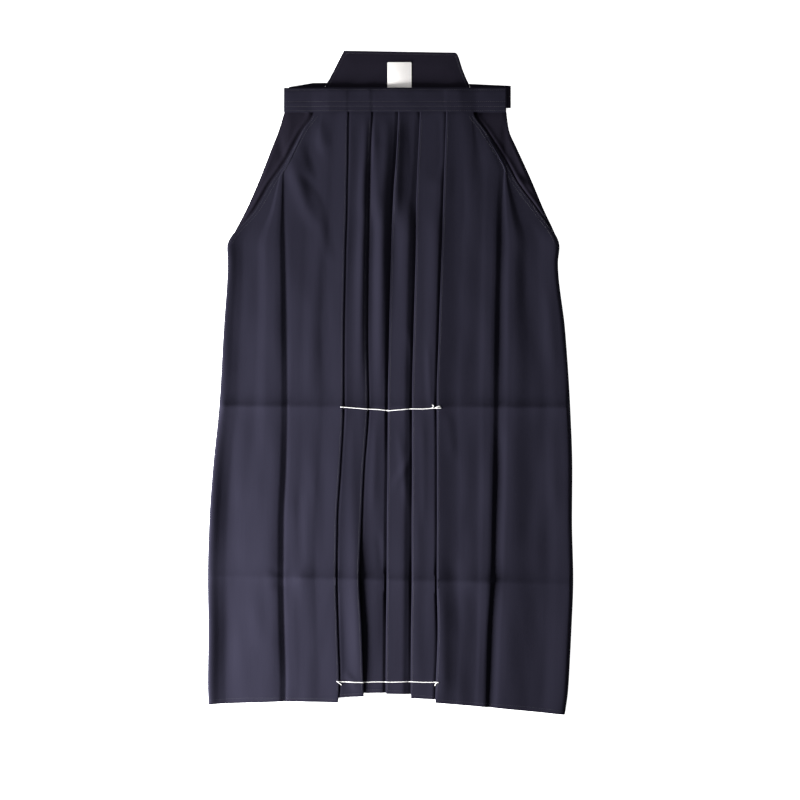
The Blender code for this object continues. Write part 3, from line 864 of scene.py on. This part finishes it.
def turned_end(x, low, high, direction):
    """The points of a strip's fold, from its lower run to its upper run."""
    radius = (high - low) / 2
    angles = np.pi * (np.arange(END_STEPS + 1) / END_STEPS - 0.5)
    return [
        (x + direction * radius * (math.cos(angle) - 1), (low + high) / 2 + radius * math.sin(angle))
        for angle in angles
    ]


def note_cut(sheet, points):
    """Notes a sheet's cut: its longest row, its longest column and the area of its faces."""
    width = np.linalg.norm(np.diff(points, axis=1), axis=2).sum(axis=1).max()
    length = np.linalg.norm(np.diff(points, axis=0), axis=2).sum(axis=0).max()
    across, up = points[:-1, 1:] - points[:-1, :-1], points[1:, :-1] - points[:-1, :-1]
    area = np.linalg.norm(np.cross(across, up), axis=2).sum()
    sheet["cut"] = (float(width), float(length), float(area))


def board_drop(x, y):
    """How far the board's top edge runs down towards its right end."""
    share = np.clip((x - BOARD_SLOPE_START) / BOARD_SLOPE_RUN, 0.0, 1.0)
    return BOARD_SLOPE * share * eased((y - BAND_TOP) / (BOARD_TOP - BAND_TOP))


def sheet_of_cloth(name, points):
    """A sheet through rows of points: a grid whose points are moved, given its wall."""
    lines, columns = points.shape[0] - 1, points.shape[1] - 1
    deselect_all()
    bpy.ops.mesh.primitive_grid_add(x_subdivisions=columns, y_subdivisions=lines, size=1)
    sheet = bpy.context.object
    sheet.name = name
    sheet.data.name = name
    flat = np.empty(len(sheet.data.vertices) * 3, np.float32)
    sheet.data.vertices.foreach_get("co", flat)
    flat = flat.reshape(-1, 3)
    i = np.rint((flat[:, 0] + 0.5) * columns).astype(int)
    j = np.rint((flat[:, 1] + 0.5) * lines).astype(int)
    sheet.data.vertices.foreach_set("co", points[j, i].astype(np.float32).ravel())
    sheet.data.update()
    wall = sheet.modifiers.new("Wall", "SOLIDIFY")
    wall.thickness = WALL
    wall.offset = 0.0
    wall.use_even_offset = True
    wall.use_quality_normals = True
    bpy.ops.object.modifier_apply(modifier=wall.name)
    bpy.ops.object.shade_smooth_by_angle(angle=math.radians(50))
    return sheet


def finish_piece(piece, material, slot, *nodes):
    """Gives a piece its material, sets it on the body that it rides on, and hides the frame's parts that it
    stands for.
    """
    piece.data.materials.clear()
    piece.data.materials.append(material)
    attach(piece, BODY)
    if nodes:
        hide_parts(*nodes)
    return piece


# Helpers for materials


class Sum:
    """A socket, or a number, that takes part in sums. Each sum adds its Math nodes."""

    def __init__(self, recipe, socket):
        self.recipe, self.socket = recipe, socket

    def _maths(self, operation, *others):
        values = [self.socket] + [getattr(other, "socket", other) for other in others]
        node = self.recipe.node("ShaderNodeMath", {"operation": operation}, dict(enumerate(values)))
        return Sum(self.recipe, node.outputs[0])

    def __add__(self, other):
        return self._maths("ADD", other)

    def __sub__(self, other):
        return self._maths("SUBTRACT", other)

    def __rsub__(self, other):
        return Sum(self.recipe, other)._maths("SUBTRACT", self)

    def __mul__(self, other):
        return self._maths("MULTIPLY", other)

    __radd__ = __add__
    __rmul__ = __mul__

    def sine(self):
        return self._maths("SINE")

    def over(self, limit):
        return self._maths("GREATER_THAN", limit)

    def under(self, limit):
        return self._maths("LESS_THAN", limit)

    def smaller(self, other):
        return self._maths("MINIMUM", other)


class Recipe:
    """One material under way: its node tree, and the one method that adds nodes to it."""

    def __init__(self, name):
        self.material = bpy.data.materials.new(name)
        self.material.use_nodes = True
        self.tree = self.material.node_tree
        self.shader = self.tree.nodes["Principled BSDF"]
        self.place = self.node("ShaderNodeTexCoord").outputs["Object"]

    def node(self, kind, settings=None, sockets=None):
        made = self.tree.nodes.new(kind)
        for key, value in (settings or {}).items():
            setattr(made, key, value)
        for key, value in (sockets or {}).items():
            self.give(made.inputs[key], value)
        return made

    def give(self, socket, value):
        value = getattr(value, "socket", value)
        if isinstance(value, bpy.types.NodeSocket):
            self.tree.links.new(value, socket)
        else:
            socket.default_value = value

    def axes(self):
        parts = self.node("ShaderNodeSeparateXYZ", sockets={0: self.place})
        return [Sum(self, parts.outputs[axis]) for axis in "XYZ"]

    def noise(self, scale, detail=2.0, stretch=(1.0, 1.0, 1.0)):
        drawn = self.node("ShaderNodeMapping", sockets={"Vector": self.place, "Scale": stretch})
        sockets = {"Vector": drawn.outputs[0], "Scale": scale, "Detail": detail, "Roughness": 0.55}
        return Sum(self, self.node("ShaderNodeTexNoise", sockets=sockets).outputs["Fac"])

    def mixed(self, share, first, second):
        """Two colours mixed by a share, which is a number, a socket or a sum."""
        return self.node("ShaderNodeMix", {"data_type": "RGBA"}, {0: share, 6: first, 7: second}).outputs[2]

    def bump(self, height, distance, strength=1.0):
        sockets = {"Height": height, "Distance": distance, "Strength": strength}
        self.give(self.shader.inputs["Normal"], self.node("ShaderNodeBump", sockets=sockets).outputs[0])

    def set(self, **sockets):
        for key, value in sockets.items():
            self.give(self.shader.inputs[key.replace("_", " ").title()], value)


def shaded(colour, share=1.0):
    """A colour made darker or lighter by this share, with its alpha."""
    return (*(channel * share for channel in colour), 1.0)


def navy_twill(name, colour, roughness):
    """Fine polyester twill: diagonal ribs, slubs along the warp, and a slow change of depth in the dye."""
    recipe = Recipe(name)
    x, y, _ = recipe.axes()
    pitch = bpy.context.scene.hakama_cloth.weave
    ribs = ((x + y) * (2 * math.pi / pitch)).sine() * 0.5 + 0.5
    picks = ((y - x * 0.5) * (2 * math.pi / (pitch * 1.7))).sine() * 0.5 + 0.5
    slubs = recipe.noise(9.0, 3.0, (90.0, 1.6, 90.0))
    dye = recipe.noise(7.0, 2.0)
    fuzz = recipe.noise(1400.0, 2.0)
    depth = ribs * 0.16 + picks * 0.08 + slubs * 0.34 + dye * 0.26 + fuzz * 0.16
    recipe.set(base_color=recipe.mixed(depth, shaded(colour, 0.68), shaded(colour, 1.32)))
    recipe.set(roughness=slubs * 0.08 + (roughness - 0.04))
    recipe.bump(ribs * 0.6 + picks * 0.25 + fuzz * 0.15, 0.00008, 0.55)
    recipe.shader.inputs["Sheen Weight"].default_value = 0.02
    recipe.shader.inputs["Sheen Roughness"].default_value = 0.45
    recipe.shader.inputs["Sheen Tint"].default_value = (0.62, 0.62, 0.95, 1.0)
    recipe.shader.inputs["Specular IOR Level"].default_value = 0.006
    return recipe.material


def thread_material(name, colour, twist, roughness):
    """Spun thread: fine diagonal plies along it."""
    recipe = Recipe(name)
    x, y, z = recipe.axes()
    plies = ((x + y + z) * (2 * math.pi / twist)).sine() * 0.5 + 0.5
    fibres = recipe.noise(2500.0, 2.0)
    recipe.set(base_color=recipe.mixed(plies * 0.6 + fibres * 0.4, shaded(colour, 0.72), shaded(colour)))
    recipe.set(roughness=fibres * 0.1 + roughness)
    recipe.bump(plies, 0.0001, 0.6)
    return recipe.material


def label_material():
    """Off-white woven label with a finer rib and a thin border, bare inside it."""
    cloth = bpy.context.scene.hakama_cloth
    recipe = Recipe("label_weave")
    x, y, _ = recipe.axes()
    ribs = (y * (2 * math.pi / 0.0006)).sine() * 0.5 + 0.5
    fuzz = recipe.noise(900.0, 3.0)
    ground = recipe.mixed(ribs * 0.5 + fuzz * 0.5, shaded(cloth.label, 0.86), shaded(cloth.label))
    from_side = (x - LABEL_LEFT).smaller(LABEL_RIGHT - x)
    from_end = (y - LABEL_BOTTOM).smaller(LABEL_TOP - y)
    inset = from_side.smaller(from_end)
    border = inset.over(LABEL_BORDER[0]) * inset.under(LABEL_BORDER[1])
    recipe.set(base_color=recipe.mixed(border * 0.35, ground, LABEL_BORDER_COLOUR))
    recipe.set(roughness=fuzz * 0.1 + 0.5)
    recipe.bump(ribs * 0.7 + border * 0.5, 0.00012, 0.5)
    recipe.shader.inputs["Specular IOR Level"].default_value = 0.3
    return recipe.material


def floor_material(colour):
    recipe = Recipe("pale_floor")
    grain = recipe.noise(60.0, 3.0)
    recipe.set(base_color=recipe.mixed(grain, shaded(colour, 0.99), shaded(colour)))
    recipe.set(roughness=grain * 0.1 + 0.8)
    recipe.shader.inputs["Emission Strength"].default_value = 1.0
    recipe.shader.inputs["Emission Color"].default_value = (1.0, 1.0, 1.0, 1.0)
    return recipe.material


def outer_cloth():
    name, cloth = "navy_twill", bpy.context.scene.hakama_cloth
    return bpy.data.materials.get(name) or navy_twill(name, cloth.colour, 0.64)


def inner_cloth():
    name, cloth = "navy_twill_inside", bpy.context.scene.hakama_cloth
    return bpy.data.materials.get(name) or navy_twill(name, cloth.inside, 0.72)


# Sewing


def top_surface():
    """The cloth's surface from above, for what is sewn to it."""
    names = [
        "cloth_front_left", "cloth_front_right", "cloth_back_left", "cloth_back_right",
        "cloth_band", "cloth_board", "cloth_label",
    ]
    points, faces = [], []
    for name in names:
        mesh = bpy.data.objects[name].data
        first = len(points)
        points += [vertex.co.copy() for vertex in mesh.vertices]
        faces += [[first + corner for corner in face.vertices] for face in mesh.polygons]
    return BVHTree.FromPolygons(points, faces)


def dropped(surface, x, y):
    """The point and the normal of the cloth under this place."""
    point, normal, _, _ = surface.ray_cast(Vector((x, y, 0.1)), Vector((0, 0, -1)))
    if point is None:
        return None
    return point, normal if normal.z > 0 else -normal


def one_stitch(length, width):
    """A single stitch: a short round-ended bead of thread, along X."""
    deselect_all()
    bpy.ops.mesh.primitive_uv_sphere_add(segments=6, ring_count=4, radius=0.5, rotation=(0, math.pi / 2, 0))
    bead = bpy.context.object
    bpy.ops.object.transform_apply(location=False, rotation=True, scale=False)
    bead.scale = (length, width, width * STITCH_HEIGHT)
    bpy.ops.object.transform_apply(location=False, rotation=False, scale=True)
    points = np.array([vertex.co for vertex in bead.data.vertices])
    faces = [list(face.vertices) for face in bead.data.polygons]
    bpy.data.objects.remove(bead, do_unlink=True)
    return points, faces


def stitched(name, surface, seams, material, slot="navy_cloth"):
    """Stitches along seams, copied from one modelled stitch and joined into one piece."""
    sewing = bpy.context.scene.hakama_sewing
    bead, bead_faces = one_stitch(sewing.stitch_length, sewing.stitch_width)
    points, faces = [], []
    step = sewing.stitch_length + sewing.stitch_gap
    for seam in seams:
        seam = np.array(seam, float)
        runs = np.linalg.norm(np.diff(seam, axis=0), axis=1)
        travelled = np.concatenate([[0.0], np.cumsum(runs)])
        places = np.arange(step / 2, travelled[-1], step)
        xs, ys = (np.interp(places, travelled, seam[:, axis]) for axis in (0, 1))
        ahead = [np.interp(places + MM / 2, travelled, seam[:, axis]) for axis in (0, 1)]
        behind = [np.interp(places - MM / 2, travelled, seam[:, axis]) for axis in (0, 1)]
        for x, y, dx, dy in zip(xs, ys, ahead[0] - behind[0], ahead[1] - behind[1]):
            found = dropped(surface, x, y)
            if found is None:
                continue
            point, normal = found
            run = Vector((dx, dy, 0)).normalized()
            run = (run - normal * run.dot(normal)).normalized()
            turn = np.array([run, normal.cross(run), normal])
            placed = bead @ turn + np.array(point) + np.array(normal) * sewing.stitch_width * STITCH_RISE
            first = len(points) * len(bead)
            points.append(placed)
            faces += [[first + corner for corner in face] for face in bead_faces]
    mesh = bpy.data.meshes.new(name)
    mesh.from_pydata(np.concatenate(points).tolist(), [], faces)
    mesh.shade_smooth()
    piece = bpy.data.objects.new(name, mesh)
    bpy.context.collection.objects.link(piece)
    return finish_piece(piece, material, slot)


def section_line(column, shift, bottom, top, step=12 * MM):
    """A line down the garment, beside one of the sections' columns."""
    heights = np.arange(bottom, top, step)
    return [(table_row(SECTION_COLUMNS, SECTIONS, y)[column] + shift, y) for y in heights]


def basting_thread(name, surface, points, material):
    """A soft thread that lies on the pleats, through the given points."""
    radius = bpy.context.scene.hakama_sewing.basting_radius
    curve = bpy.data.curves.new(name, "CURVE")
    curve.dimensions = "3D"
    curve.bevel_depth = radius
    curve.bevel_resolution = 3
    curve.use_fill_caps = True
    curve.resolution_u = 6
    spline = curve.splines.new("NURBS")
    run = np.array(points, float) * MM
    travelled = np.concatenate([[0.0], np.cumsum(np.linalg.norm(np.diff(run, axis=0), axis=1))])
    places = np.linspace(0.0, travelled[-1], max(6, int(travelled[-1] / BASTING_STEP)))
    xs, ys = (np.interp(places, travelled, run[:, axis]) for axis in (0, 1))
    spline.points.add(len(places) - 1)
    spline.order_u = 3
    spline.use_endpoint_u = True
    for point, x, y in zip(spline.points, xs, ys):
        around = [dropped(surface, x + shift, y) for shift in (-BASTING_LOOK, 0.0, BASTING_LOOK)]
        height = max(found[0].z for found in around if found)
        point.co = (x, y, height + radius * BASTING_RISE, 1.0)
    thread = bpy.data.objects.new(name, curve)
    bpy.context.collection.objects.link(thread)
    deselect_all()
    bpy.context.view_layer.objects.active = thread
    thread.select_set(True)
    bpy.ops.object.convert(target="MESH")
    thread = bpy.context.object
    weld = thread.modifiers.new("Weld", "WELD")
    weld.merge_threshold = 0.00001
    bpy.ops.object.modifier_apply(modifier=weld.name)
    thread.data.shade_smooth()
    return finish_piece(thread, material, "label_cloth")


# Operators


class HAKAMA_OT_front(bpy.types.Operator):
    """Make the two pleated halves of the front"""

    bl_idname = "hakama.front"
    bl_label = "Pleated Front"

    def execute(self, context):
        for word, side in SIDES.items():
            points = front_points(side)
            sheet = sheet_of_cloth("cloth_front_" + word, points)
            finish_piece(sheet, outer_cloth(), "navy_cloth", "front_" + word)
            note_cut(sheet, points)
        return {"FINISHED"}


class HAKAMA_OT_back(bpy.types.Operator):
    """Make the backs of the two legs"""

    bl_idname = "hakama.back"
    bl_label = "Backs of the Legs"

    def execute(self, context):
        for word, side in SIDES.items():
            points = back_points(word, side)
            sheet = sheet_of_cloth("cloth_back_" + word, points)
            finish_piece(sheet, inner_cloth(), "navy_cloth_inside", "back_" + word)
            note_cut(sheet, points)
        return {"FINISHED"}


class HAKAMA_OT_waistband(bpy.types.Operator):
    """Make the waistband with the two front ties folded back behind it"""

    bl_idname = "hakama.waistband"
    bl_label = "Waistband"

    def execute(self, context):
        run_x, run_z = np.array(BAND_RUN).T * MM
        left = turned_end(run_x[0], TIE_MID, run_z[0], -1)
        right = turned_end(run_x[-1], TIE_MID, run_z[-1], 1)
        across = np.arange(run_x[0] + 3 * MM, run_x[-1] - 2 * MM, BAND_STEP)
        over = list(zip(across, along(run_x, run_z, across)))
        path = spread([BAND_RETURN_LEFT, left[0][0]], [BAND_RETURN_STEPS])[:-1]
        path = [(x, TIE_MID) for x in path] + left + over + right[::-1]
        path += [(x, TIE_MID) for x in spread([right[0][0], BAND_RETURN_RIGHT], [BAND_RETURN_STEPS])[1:]]
        rows = []
        plain = np.linspace(BAND_BOTTOM, BAND_TOP - BAND_ROLL, BAND_ROWS + 1)[:-1]
        roll = BAND_TOP - BAND_ROLL * np.cos(np.linspace(0, np.pi / 2, BAND_ROLL_ROWS))
        for y in [*plain, *roll]:
            rows.append([(x, y, z + self.pressed(x, y, z) - self.rolled(y, z)) for x, z in path])
        points = np.array(rows)
        band = sheet_of_cloth("cloth_band", points)
        finish_piece(band, outer_cloth(), "navy_cloth", "front_band")
        note_cut(band, points)
        return {"FINISHED"}

    def rolled(self, y, z):
        """The band's upper edge rolls down past the top of the front."""
        if z < TIE_MID + 2 * MM:
            return 0.0
        share = max(0.0, (y - BAND_TOP) / BAND_ROLL + 1)
        return BAND_ROLL_SHARE * (z - TIE_MID) * (1 - math.sqrt(max(0.0, 1 - share**2)))

    def pressed(self, x, y, z):
        """The band is plump between its rows of stitching and pulled in along them."""
        if z < TIE_MID + 2 * MM:
            return 0.0
        rows = np.array(BAND_STITCH_ROWS) * MM
        pull = -BAND_PULL * float(np.exp(-((y - rows) / BAND_PULL_REACH) ** 2).max())
        wave = BAND_WAVE * math.sin(x / (7.3 * MM)) * math.sin(y / (9 * MM))
        fullness = BAND_FULLNESS * math.sin(x / (23 * MM) + 1.0)
        return pull + wave + fullness + BAND_STAND


class HAKAMA_OT_back_ties(bpy.types.Operator):
    """Make the two back ties, which fold back under themselves"""

    bl_idname = "hakama.back_ties"
    bl_label = "Back Ties"

    def execute(self, context):
        for word, side in SIDES.items():
            fold = BACK_TIE_FOLD_LEFT if side < 0 else BACK_TIE_FOLD_RIGHT
            turn = turned_end(fold - side * WALL / 2, BACK_MID, REST_MID, side)
            rows = []
            tops_x, tops_y = np.array(BACK_TIE_TOPS[word]).T * MM
            for share in np.linspace(0, 1, BACK_TIE_ROWS):
                y = BACK_TOP + SEAM_GAP + share * (BACK_TIE_TOP - BACK_TOP - SEAM_GAP)
                beside = y + share * (tops_y[-1 if side < 0 else 0] - BACK_TIE_TOP)
                foot = table_row(BOARD_COLUMNS, BOARD_SECTIONS, beside)[word] + side * SEAM_GAP
                inward = spread([foot, turn[0][0]], [BACK_TIE_STEPS])[:-1]
                path = [(x, BACK_MID) for x in inward] + turn
                path += [(x, REST_MID + 0.25 * MM * math.sin((x - foot) * 90) ** 2) for x in inward[::-1]]
                stretch = [(float(np.interp(x, tops_x, tops_y)) - BACK_TIE_TOP) * share for x, _ in path]
                rows.append([(x, y + more, z) for (x, z), more in zip(path, stretch)])
            points = np.array(rows)
            tie = sheet_of_cloth("cloth_back_tie_" + word, points)
            finish_piece(tie, inner_cloth(), "navy_cloth_inside", "back_tie_" + word)
            note_cut(tie, points)
        return {"FINISHED"}


class HAKAMA_OT_board(bpy.types.Operator):
    """Make the stiff back board in its cloth"""

    bl_idname = "hakama.board"
    bl_label = "Back Board"

    round_edge: length_setting("Round edge", "Radius of the board's edges", 0.0012, 0.0001, 0.0017)
    plump: length_setting(
        "Plumpness", "How far the cloth stands up in the board's middle", 0.0007, 0.0001, 0.003
    )

    def execute(self, context):
        deselect_all()
        bpy.ops.mesh.primitive_cube_add(size=1)
        board = bpy.context.object
        board.name = "cloth_board"
        board.data.name = "cloth_board"
        bpy.ops.object.mode_set(mode="EDIT")
        bpy.ops.mesh.select_all(action="SELECT")
        bpy.ops.mesh.subdivide(number_cuts=BOARD_CUTS)
        bpy.ops.object.mode_set(mode="OBJECT")
        for vertex in board.data.vertices:
            vertex.co = self.placed(vertex.co)
        bpy.ops.object.shade_smooth_by_angle(angle=math.radians(50))
        finish_piece(board, inner_cloth(), "navy_cloth_inside", "back_board")
        return {"FINISHED"}

    def placed(self, corner):
        """Draws a point of the cube to the board's outline, round edge and stitched rim."""
        share = corner.y + 0.5
        y = BOARD_FOOT + (BOARD_TOP - BOARD_FOOT) * (1 - (1 - share) ** 1.4)
        row = table_row(BOARD_COLUMNS, BOARD_SECTIONS, y)
        t = math.sin(math.pi * corner.x) / 2 + 0.5
        x = row["left"] + (row["right"] - row["left"]) * t
        inset = min(x - row["left"], row["right"] - x, BOARD_TOP - y, y - BOARD_FOOT)
        drop = max(0.0, self.round_edge - inset)
        curve = self.round_edge - math.sqrt(max(0.0, self.round_edge**2 - drop**2))
        groove = BOARD_GROOVE * math.exp(-(((inset - BOARD_STITCH_INSET) / MM) ** 2))
        crown = self.plump * float(eased((inset - BOARD_STITCH_INSET) / BOARD_PLUMP_REACH))
        top = BOARD_THICKNESS - curve - groove + crown
        return x, y - board_drop(x, y), curve + (top - curve) * (corner.z + 0.5)


class HAKAMA_OT_label(bpy.types.Operator):
    """Make the board's label"""

    bl_idname = "hakama.label"
    bl_label = "Label"

    thickness: length_setting("Thickness", "Thickness of the label", 0.0006, 0.0001, 0.002)

    def execute(self, context):
        deselect_all()
        width, length = LABEL_RIGHT - LABEL_LEFT, LABEL_TOP - LABEL_BOTTOM
        x, y = (LABEL_LEFT + LABEL_RIGHT) / 2, (LABEL_BOTTOM + LABEL_TOP) / 2
        centre = (x, y, LABEL_REST + self.thickness / 2)
        bpy.ops.mesh.primitive_cube_add(size=1, location=centre)
        label = bpy.context.object
        label.name = "cloth_label"
        label.data.name = "cloth_label"
        label.scale = (width, length, self.thickness)
        bpy.ops.object.transform_apply(location=True, rotation=False, scale=True)
        edge = label.modifiers.new("Corners", "BEVEL")
        edge.width = LABEL_CORNER
        edge.segments = 5
        edge.limit_method = "WEIGHT"
        weights = label.data.attributes.new("bevel_weight_edge", "FLOAT", "EDGE")
        for line in label.data.edges:
            first, second = (label.data.vertices[corner].co for corner in line.vertices)
            weights.data[line.index].value = 1.0 if abs(first.z - second.z) > self.thickness / 2 else 0.0
        bpy.ops.object.modifier_apply(modifier=edge.name)
        rim = label.modifiers.new("Rim", "BEVEL")
        rim.width = LABEL_RIM
        rim.segments = 2
        rim.limit_method = "ANGLE"
        rim.angle_limit = math.radians(60)
        bpy.ops.object.modifier_apply(modifier=rim.name)
        bpy.ops.object.shade_smooth_by_angle(angle=math.radians(40))
        finish_piece(label, label_material(), "label_cloth", "board_label")
        label["cut"] = (width, length, width * length)
        return {"FINISHED"}


class HAKAMA_OT_sewing(bpy.types.Operator):
    """Sew the pleats' edges, the hems, the slits, the waistband, the board's rim and the label"""

    bl_idname = "hakama.sewing"
    bl_label = "Stitching"

    def execute(self, context):
        sewing = context.scene.hakama_sewing
        surface = top_surface()
        thread = thread_material("sewing_thread", sewing.thread, 0.0006, 0.55)
        for word, side in SIDES.items():
            seams = self.pleat_seams(side) + self.hem_seams(side) + self.slit_seams(word, side)
            stitched("stitches_front_" + word, surface, seams, thread)
        stitched("stitches_band", surface, self.band_seams(), thread)
        stitched("stitches_board", surface, self.board_seams(), thread, "navy_cloth_inside")
        pale = thread_material("label_thread", context.scene.hakama_cloth.label, 0.0006, 0.5)
        stitched("stitches_label", surface, self.label_seams(), pale, "label_cloth")
        return {"FINISHED"}

    def pleat_seams(self, side):
        """A row of edge stitching beside each pleat's fold, on its own side of it."""
        folds = ("a", "b") if side < 0 else ("c", "d", "e")
        return [section_line(fold, side * EDGE_STITCH, *PLEAT_SEAM_ENDS) for fold in folds]

    def hem_seams(self, side):
        return [np.array(seam) * MM for seam in HEM_SEAMS if side * seam[-1][0] > 0]

    def slit_seams(self, word, side):
        """Two rows beside the slit's edge."""
        rows = [-side * inset for inset in SLIT_STITCHES]
        return [section_line(word, row, *SLIT_SEAM_ENDS, 6 * MM) for row in rows]

    def band_seams(self):
        return [[(BAND_STITCH_LEFT, y * MM), (BAND_STITCH_RIGHT, y * MM)] for y in BAND_STITCH_ROWS]

    def board_seams(self):
        sections = np.array(BOARD_SECTIONS) * MM
        inset = BOARD_STITCH_INSET
        lower = sections[(sections[:, 0] > 465 * MM) & (sections[:, 0] < BOARD_TOP - inset)]
        left = [(row[1] + inset * 1.15, row[0]) for row in lower]
        right = [(row[2] - inset * 1.1, row[0]) for row in lower]
        across = np.linspace(-74.5 * MM + inset * 1.4, 106 * MM - inset * 1.5, 8)
        top = [(x, BOARD_TOP - inset) for x in across]
        return [[(x, y - board_drop(x, y)) for x, y in left + top + right[::-1]]]

    def label_seams(self):
        left, right, top = LABEL_LEFT + MM, LABEL_RIGHT - MM, LABEL_TOP - MM
        return [[(left, LABEL_SEAM_FOOT), (left, top), (right, top), (right, LABEL_SEAM_FOOT)]]


class HAKAMA_OT_basting(bpy.types.Operator):
    """Lay the basting threads that hold the pleats for sale"""

    bl_idname = "hakama.basting"
    bl_label = "Basting Threads"

    def execute(self, context):
        surface = top_surface()
        cotton = thread_material("basting_cotton", context.scene.hakama_sewing.basting, 0.0009, 0.8)
        basting_thread("basting_upper", surface, UPPER_BASTING, cotton)
        basting_thread("basting_lower", surface, LOWER_BASTING, cotton)
        for number, points in enumerate(BASTING_TAILS, start=1):
            basting_thread(f"basting_tail_{number}", surface, points, cotton)
        return {"FINISHED"}


class HAKAMA_OT_cuts(bpy.types.Operator):
    """Remove the cut that was noted on each sheet"""

    bl_idname = "hakama.cuts"
    bl_label = "Cuts of the Sheets"

    def execute(self, context):
        for name, (held, rests_on, sewn) in SHEETS.items():
            sheet = bpy.data.objects[name]
            del sheet["cut"]
        return {"FINISHED"}


class HAKAMA_OT_stage(bpy.types.Operator):
    """Add the floor, the lights and the camera"""

    bl_idname = "hakama.stage"
    bl_label = "Stage"

    def execute(self, context):
        stage = context.scene.hakama_stage
        deselect_all()
        bpy.ops.mesh.primitive_plane_add(size=FLOOR_SIZE, location=(0, 0, -FLOOR_GAP))
        floor = context.object
        floor.name = "floor"
        bpy.ops.object.transform_apply(location=True, rotation=False, scale=False)
        floor.data.materials.append(floor_material(stage.floor))
        self.add_light("key", KEY_PLACE, KEY_SIZE, stage.key_power)
        self.add_light("upper", UPPER_PLACE, UPPER_SIZE, stage.upper_power)
        self.add_world(context, stage.fill)
        self.add_camera(context, stage.camera_height)
        context.scene.view_settings.view_transform = "Standard"
        return {"FINISHED"}

    def add_light(self, name, place, size, power):
        bpy.ops.object.light_add(type="AREA", location=place)
        light = bpy.context.object
        light.name = name
        light.data.energy = power
        light.data.size = size
        light.rotation_euler = (-Vector(place)).to_track_quat("-Z", "Y").to_euler()

    def add_world(self, context, fill):
        world = bpy.data.worlds.new("even_light")
        world.use_nodes = True
        background = world.node_tree.nodes["Background"]
        background.inputs["Color"].default_value = (1.0, 1.0, 1.0, 1.0)
        background.inputs["Strength"].default_value = fill
        context.scene.world = world

    def add_camera(self, context, height):
        """The camera looks straight down."""
        bpy.ops.object.camera_add(location=(*FRAME_CENTRE, height), rotation=(0, 0, 0))
        camera = context.object
        camera.data.sensor_width = SENSOR_WIDTH
        camera.data.lens = SENSOR_WIDTH * height / FRAME_WIDTH
        camera.data.clip_end = 30
        context.scene.camera = camera


class HAKAMA_PT_sidebar(bpy.types.Panel):
    """Lists the settings and the pieces in the sidebar"""

    bl_idname = "HAKAMA_PT_sidebar"
    bl_label = "Hakama Trousers"
    bl_space_type = "VIEW_3D"
    bl_region_type = "UI"
    bl_category = "Hakama"

    def draw(self, context):
        for name in ("hakama_cloth", "hakama_sewing", "hakama_stage"):
            group = getattr(context.scene, name)
            box = self.layout.box()
            for key in group.bl_rna.properties.keys():
                if key not in ("rna_type", "name"):
                    box.prop(group, key)
        for operator in PIECES:
            self.layout.operator(operator.bl_idname)


GROUPS = {"hakama_cloth": HakamaCloth, "hakama_sewing": HakamaSewing, "hakama_stage": HakamaStage}
PIECES = (
    HAKAMA_OT_back,
    HAKAMA_OT_front,
    HAKAMA_OT_waistband,
    HAKAMA_OT_back_ties,
    HAKAMA_OT_board,
    HAKAMA_OT_label,
    HAKAMA_OT_sewing,
    HAKAMA_OT_basting,
    HAKAMA_OT_cuts,
    HAKAMA_OT_stage,
)


def register():
    for name, group in GROUPS.items():
        bpy.utils.register_class(group)
        setattr(bpy.types.Scene, name, bpy.props.PointerProperty(type=group))
    for operator in PIECES:
        bpy.utils.register_class(operator)
    bpy.utils.register_class(HAKAMA_PT_sidebar)


def unregister():
    bpy.utils.unregister_class(HAKAMA_PT_sidebar)
    for operator in reversed(PIECES):
        bpy.utils.unregister_class(operator)
    for name, group in GROUPS.items():
        delattr(bpy.types.Scene, name)
        bpy.utils.unregister_class(group)


def main():
    register()
    deselect_all()
    bpy.ops.hakama.back()
    bpy.ops.hakama.front()
    bpy.ops.hakama.waistband()
    bpy.ops.hakama.back_ties()
    bpy.ops.hakama.board()
    bpy.ops.hakama.label()
    bpy.ops.hakama.sewing()
    bpy.ops.hakama.basting()
    bpy.ops.hakama.cuts()
    bpy.ops.hakama.stage()


if __name__ == "__main__":
    main()
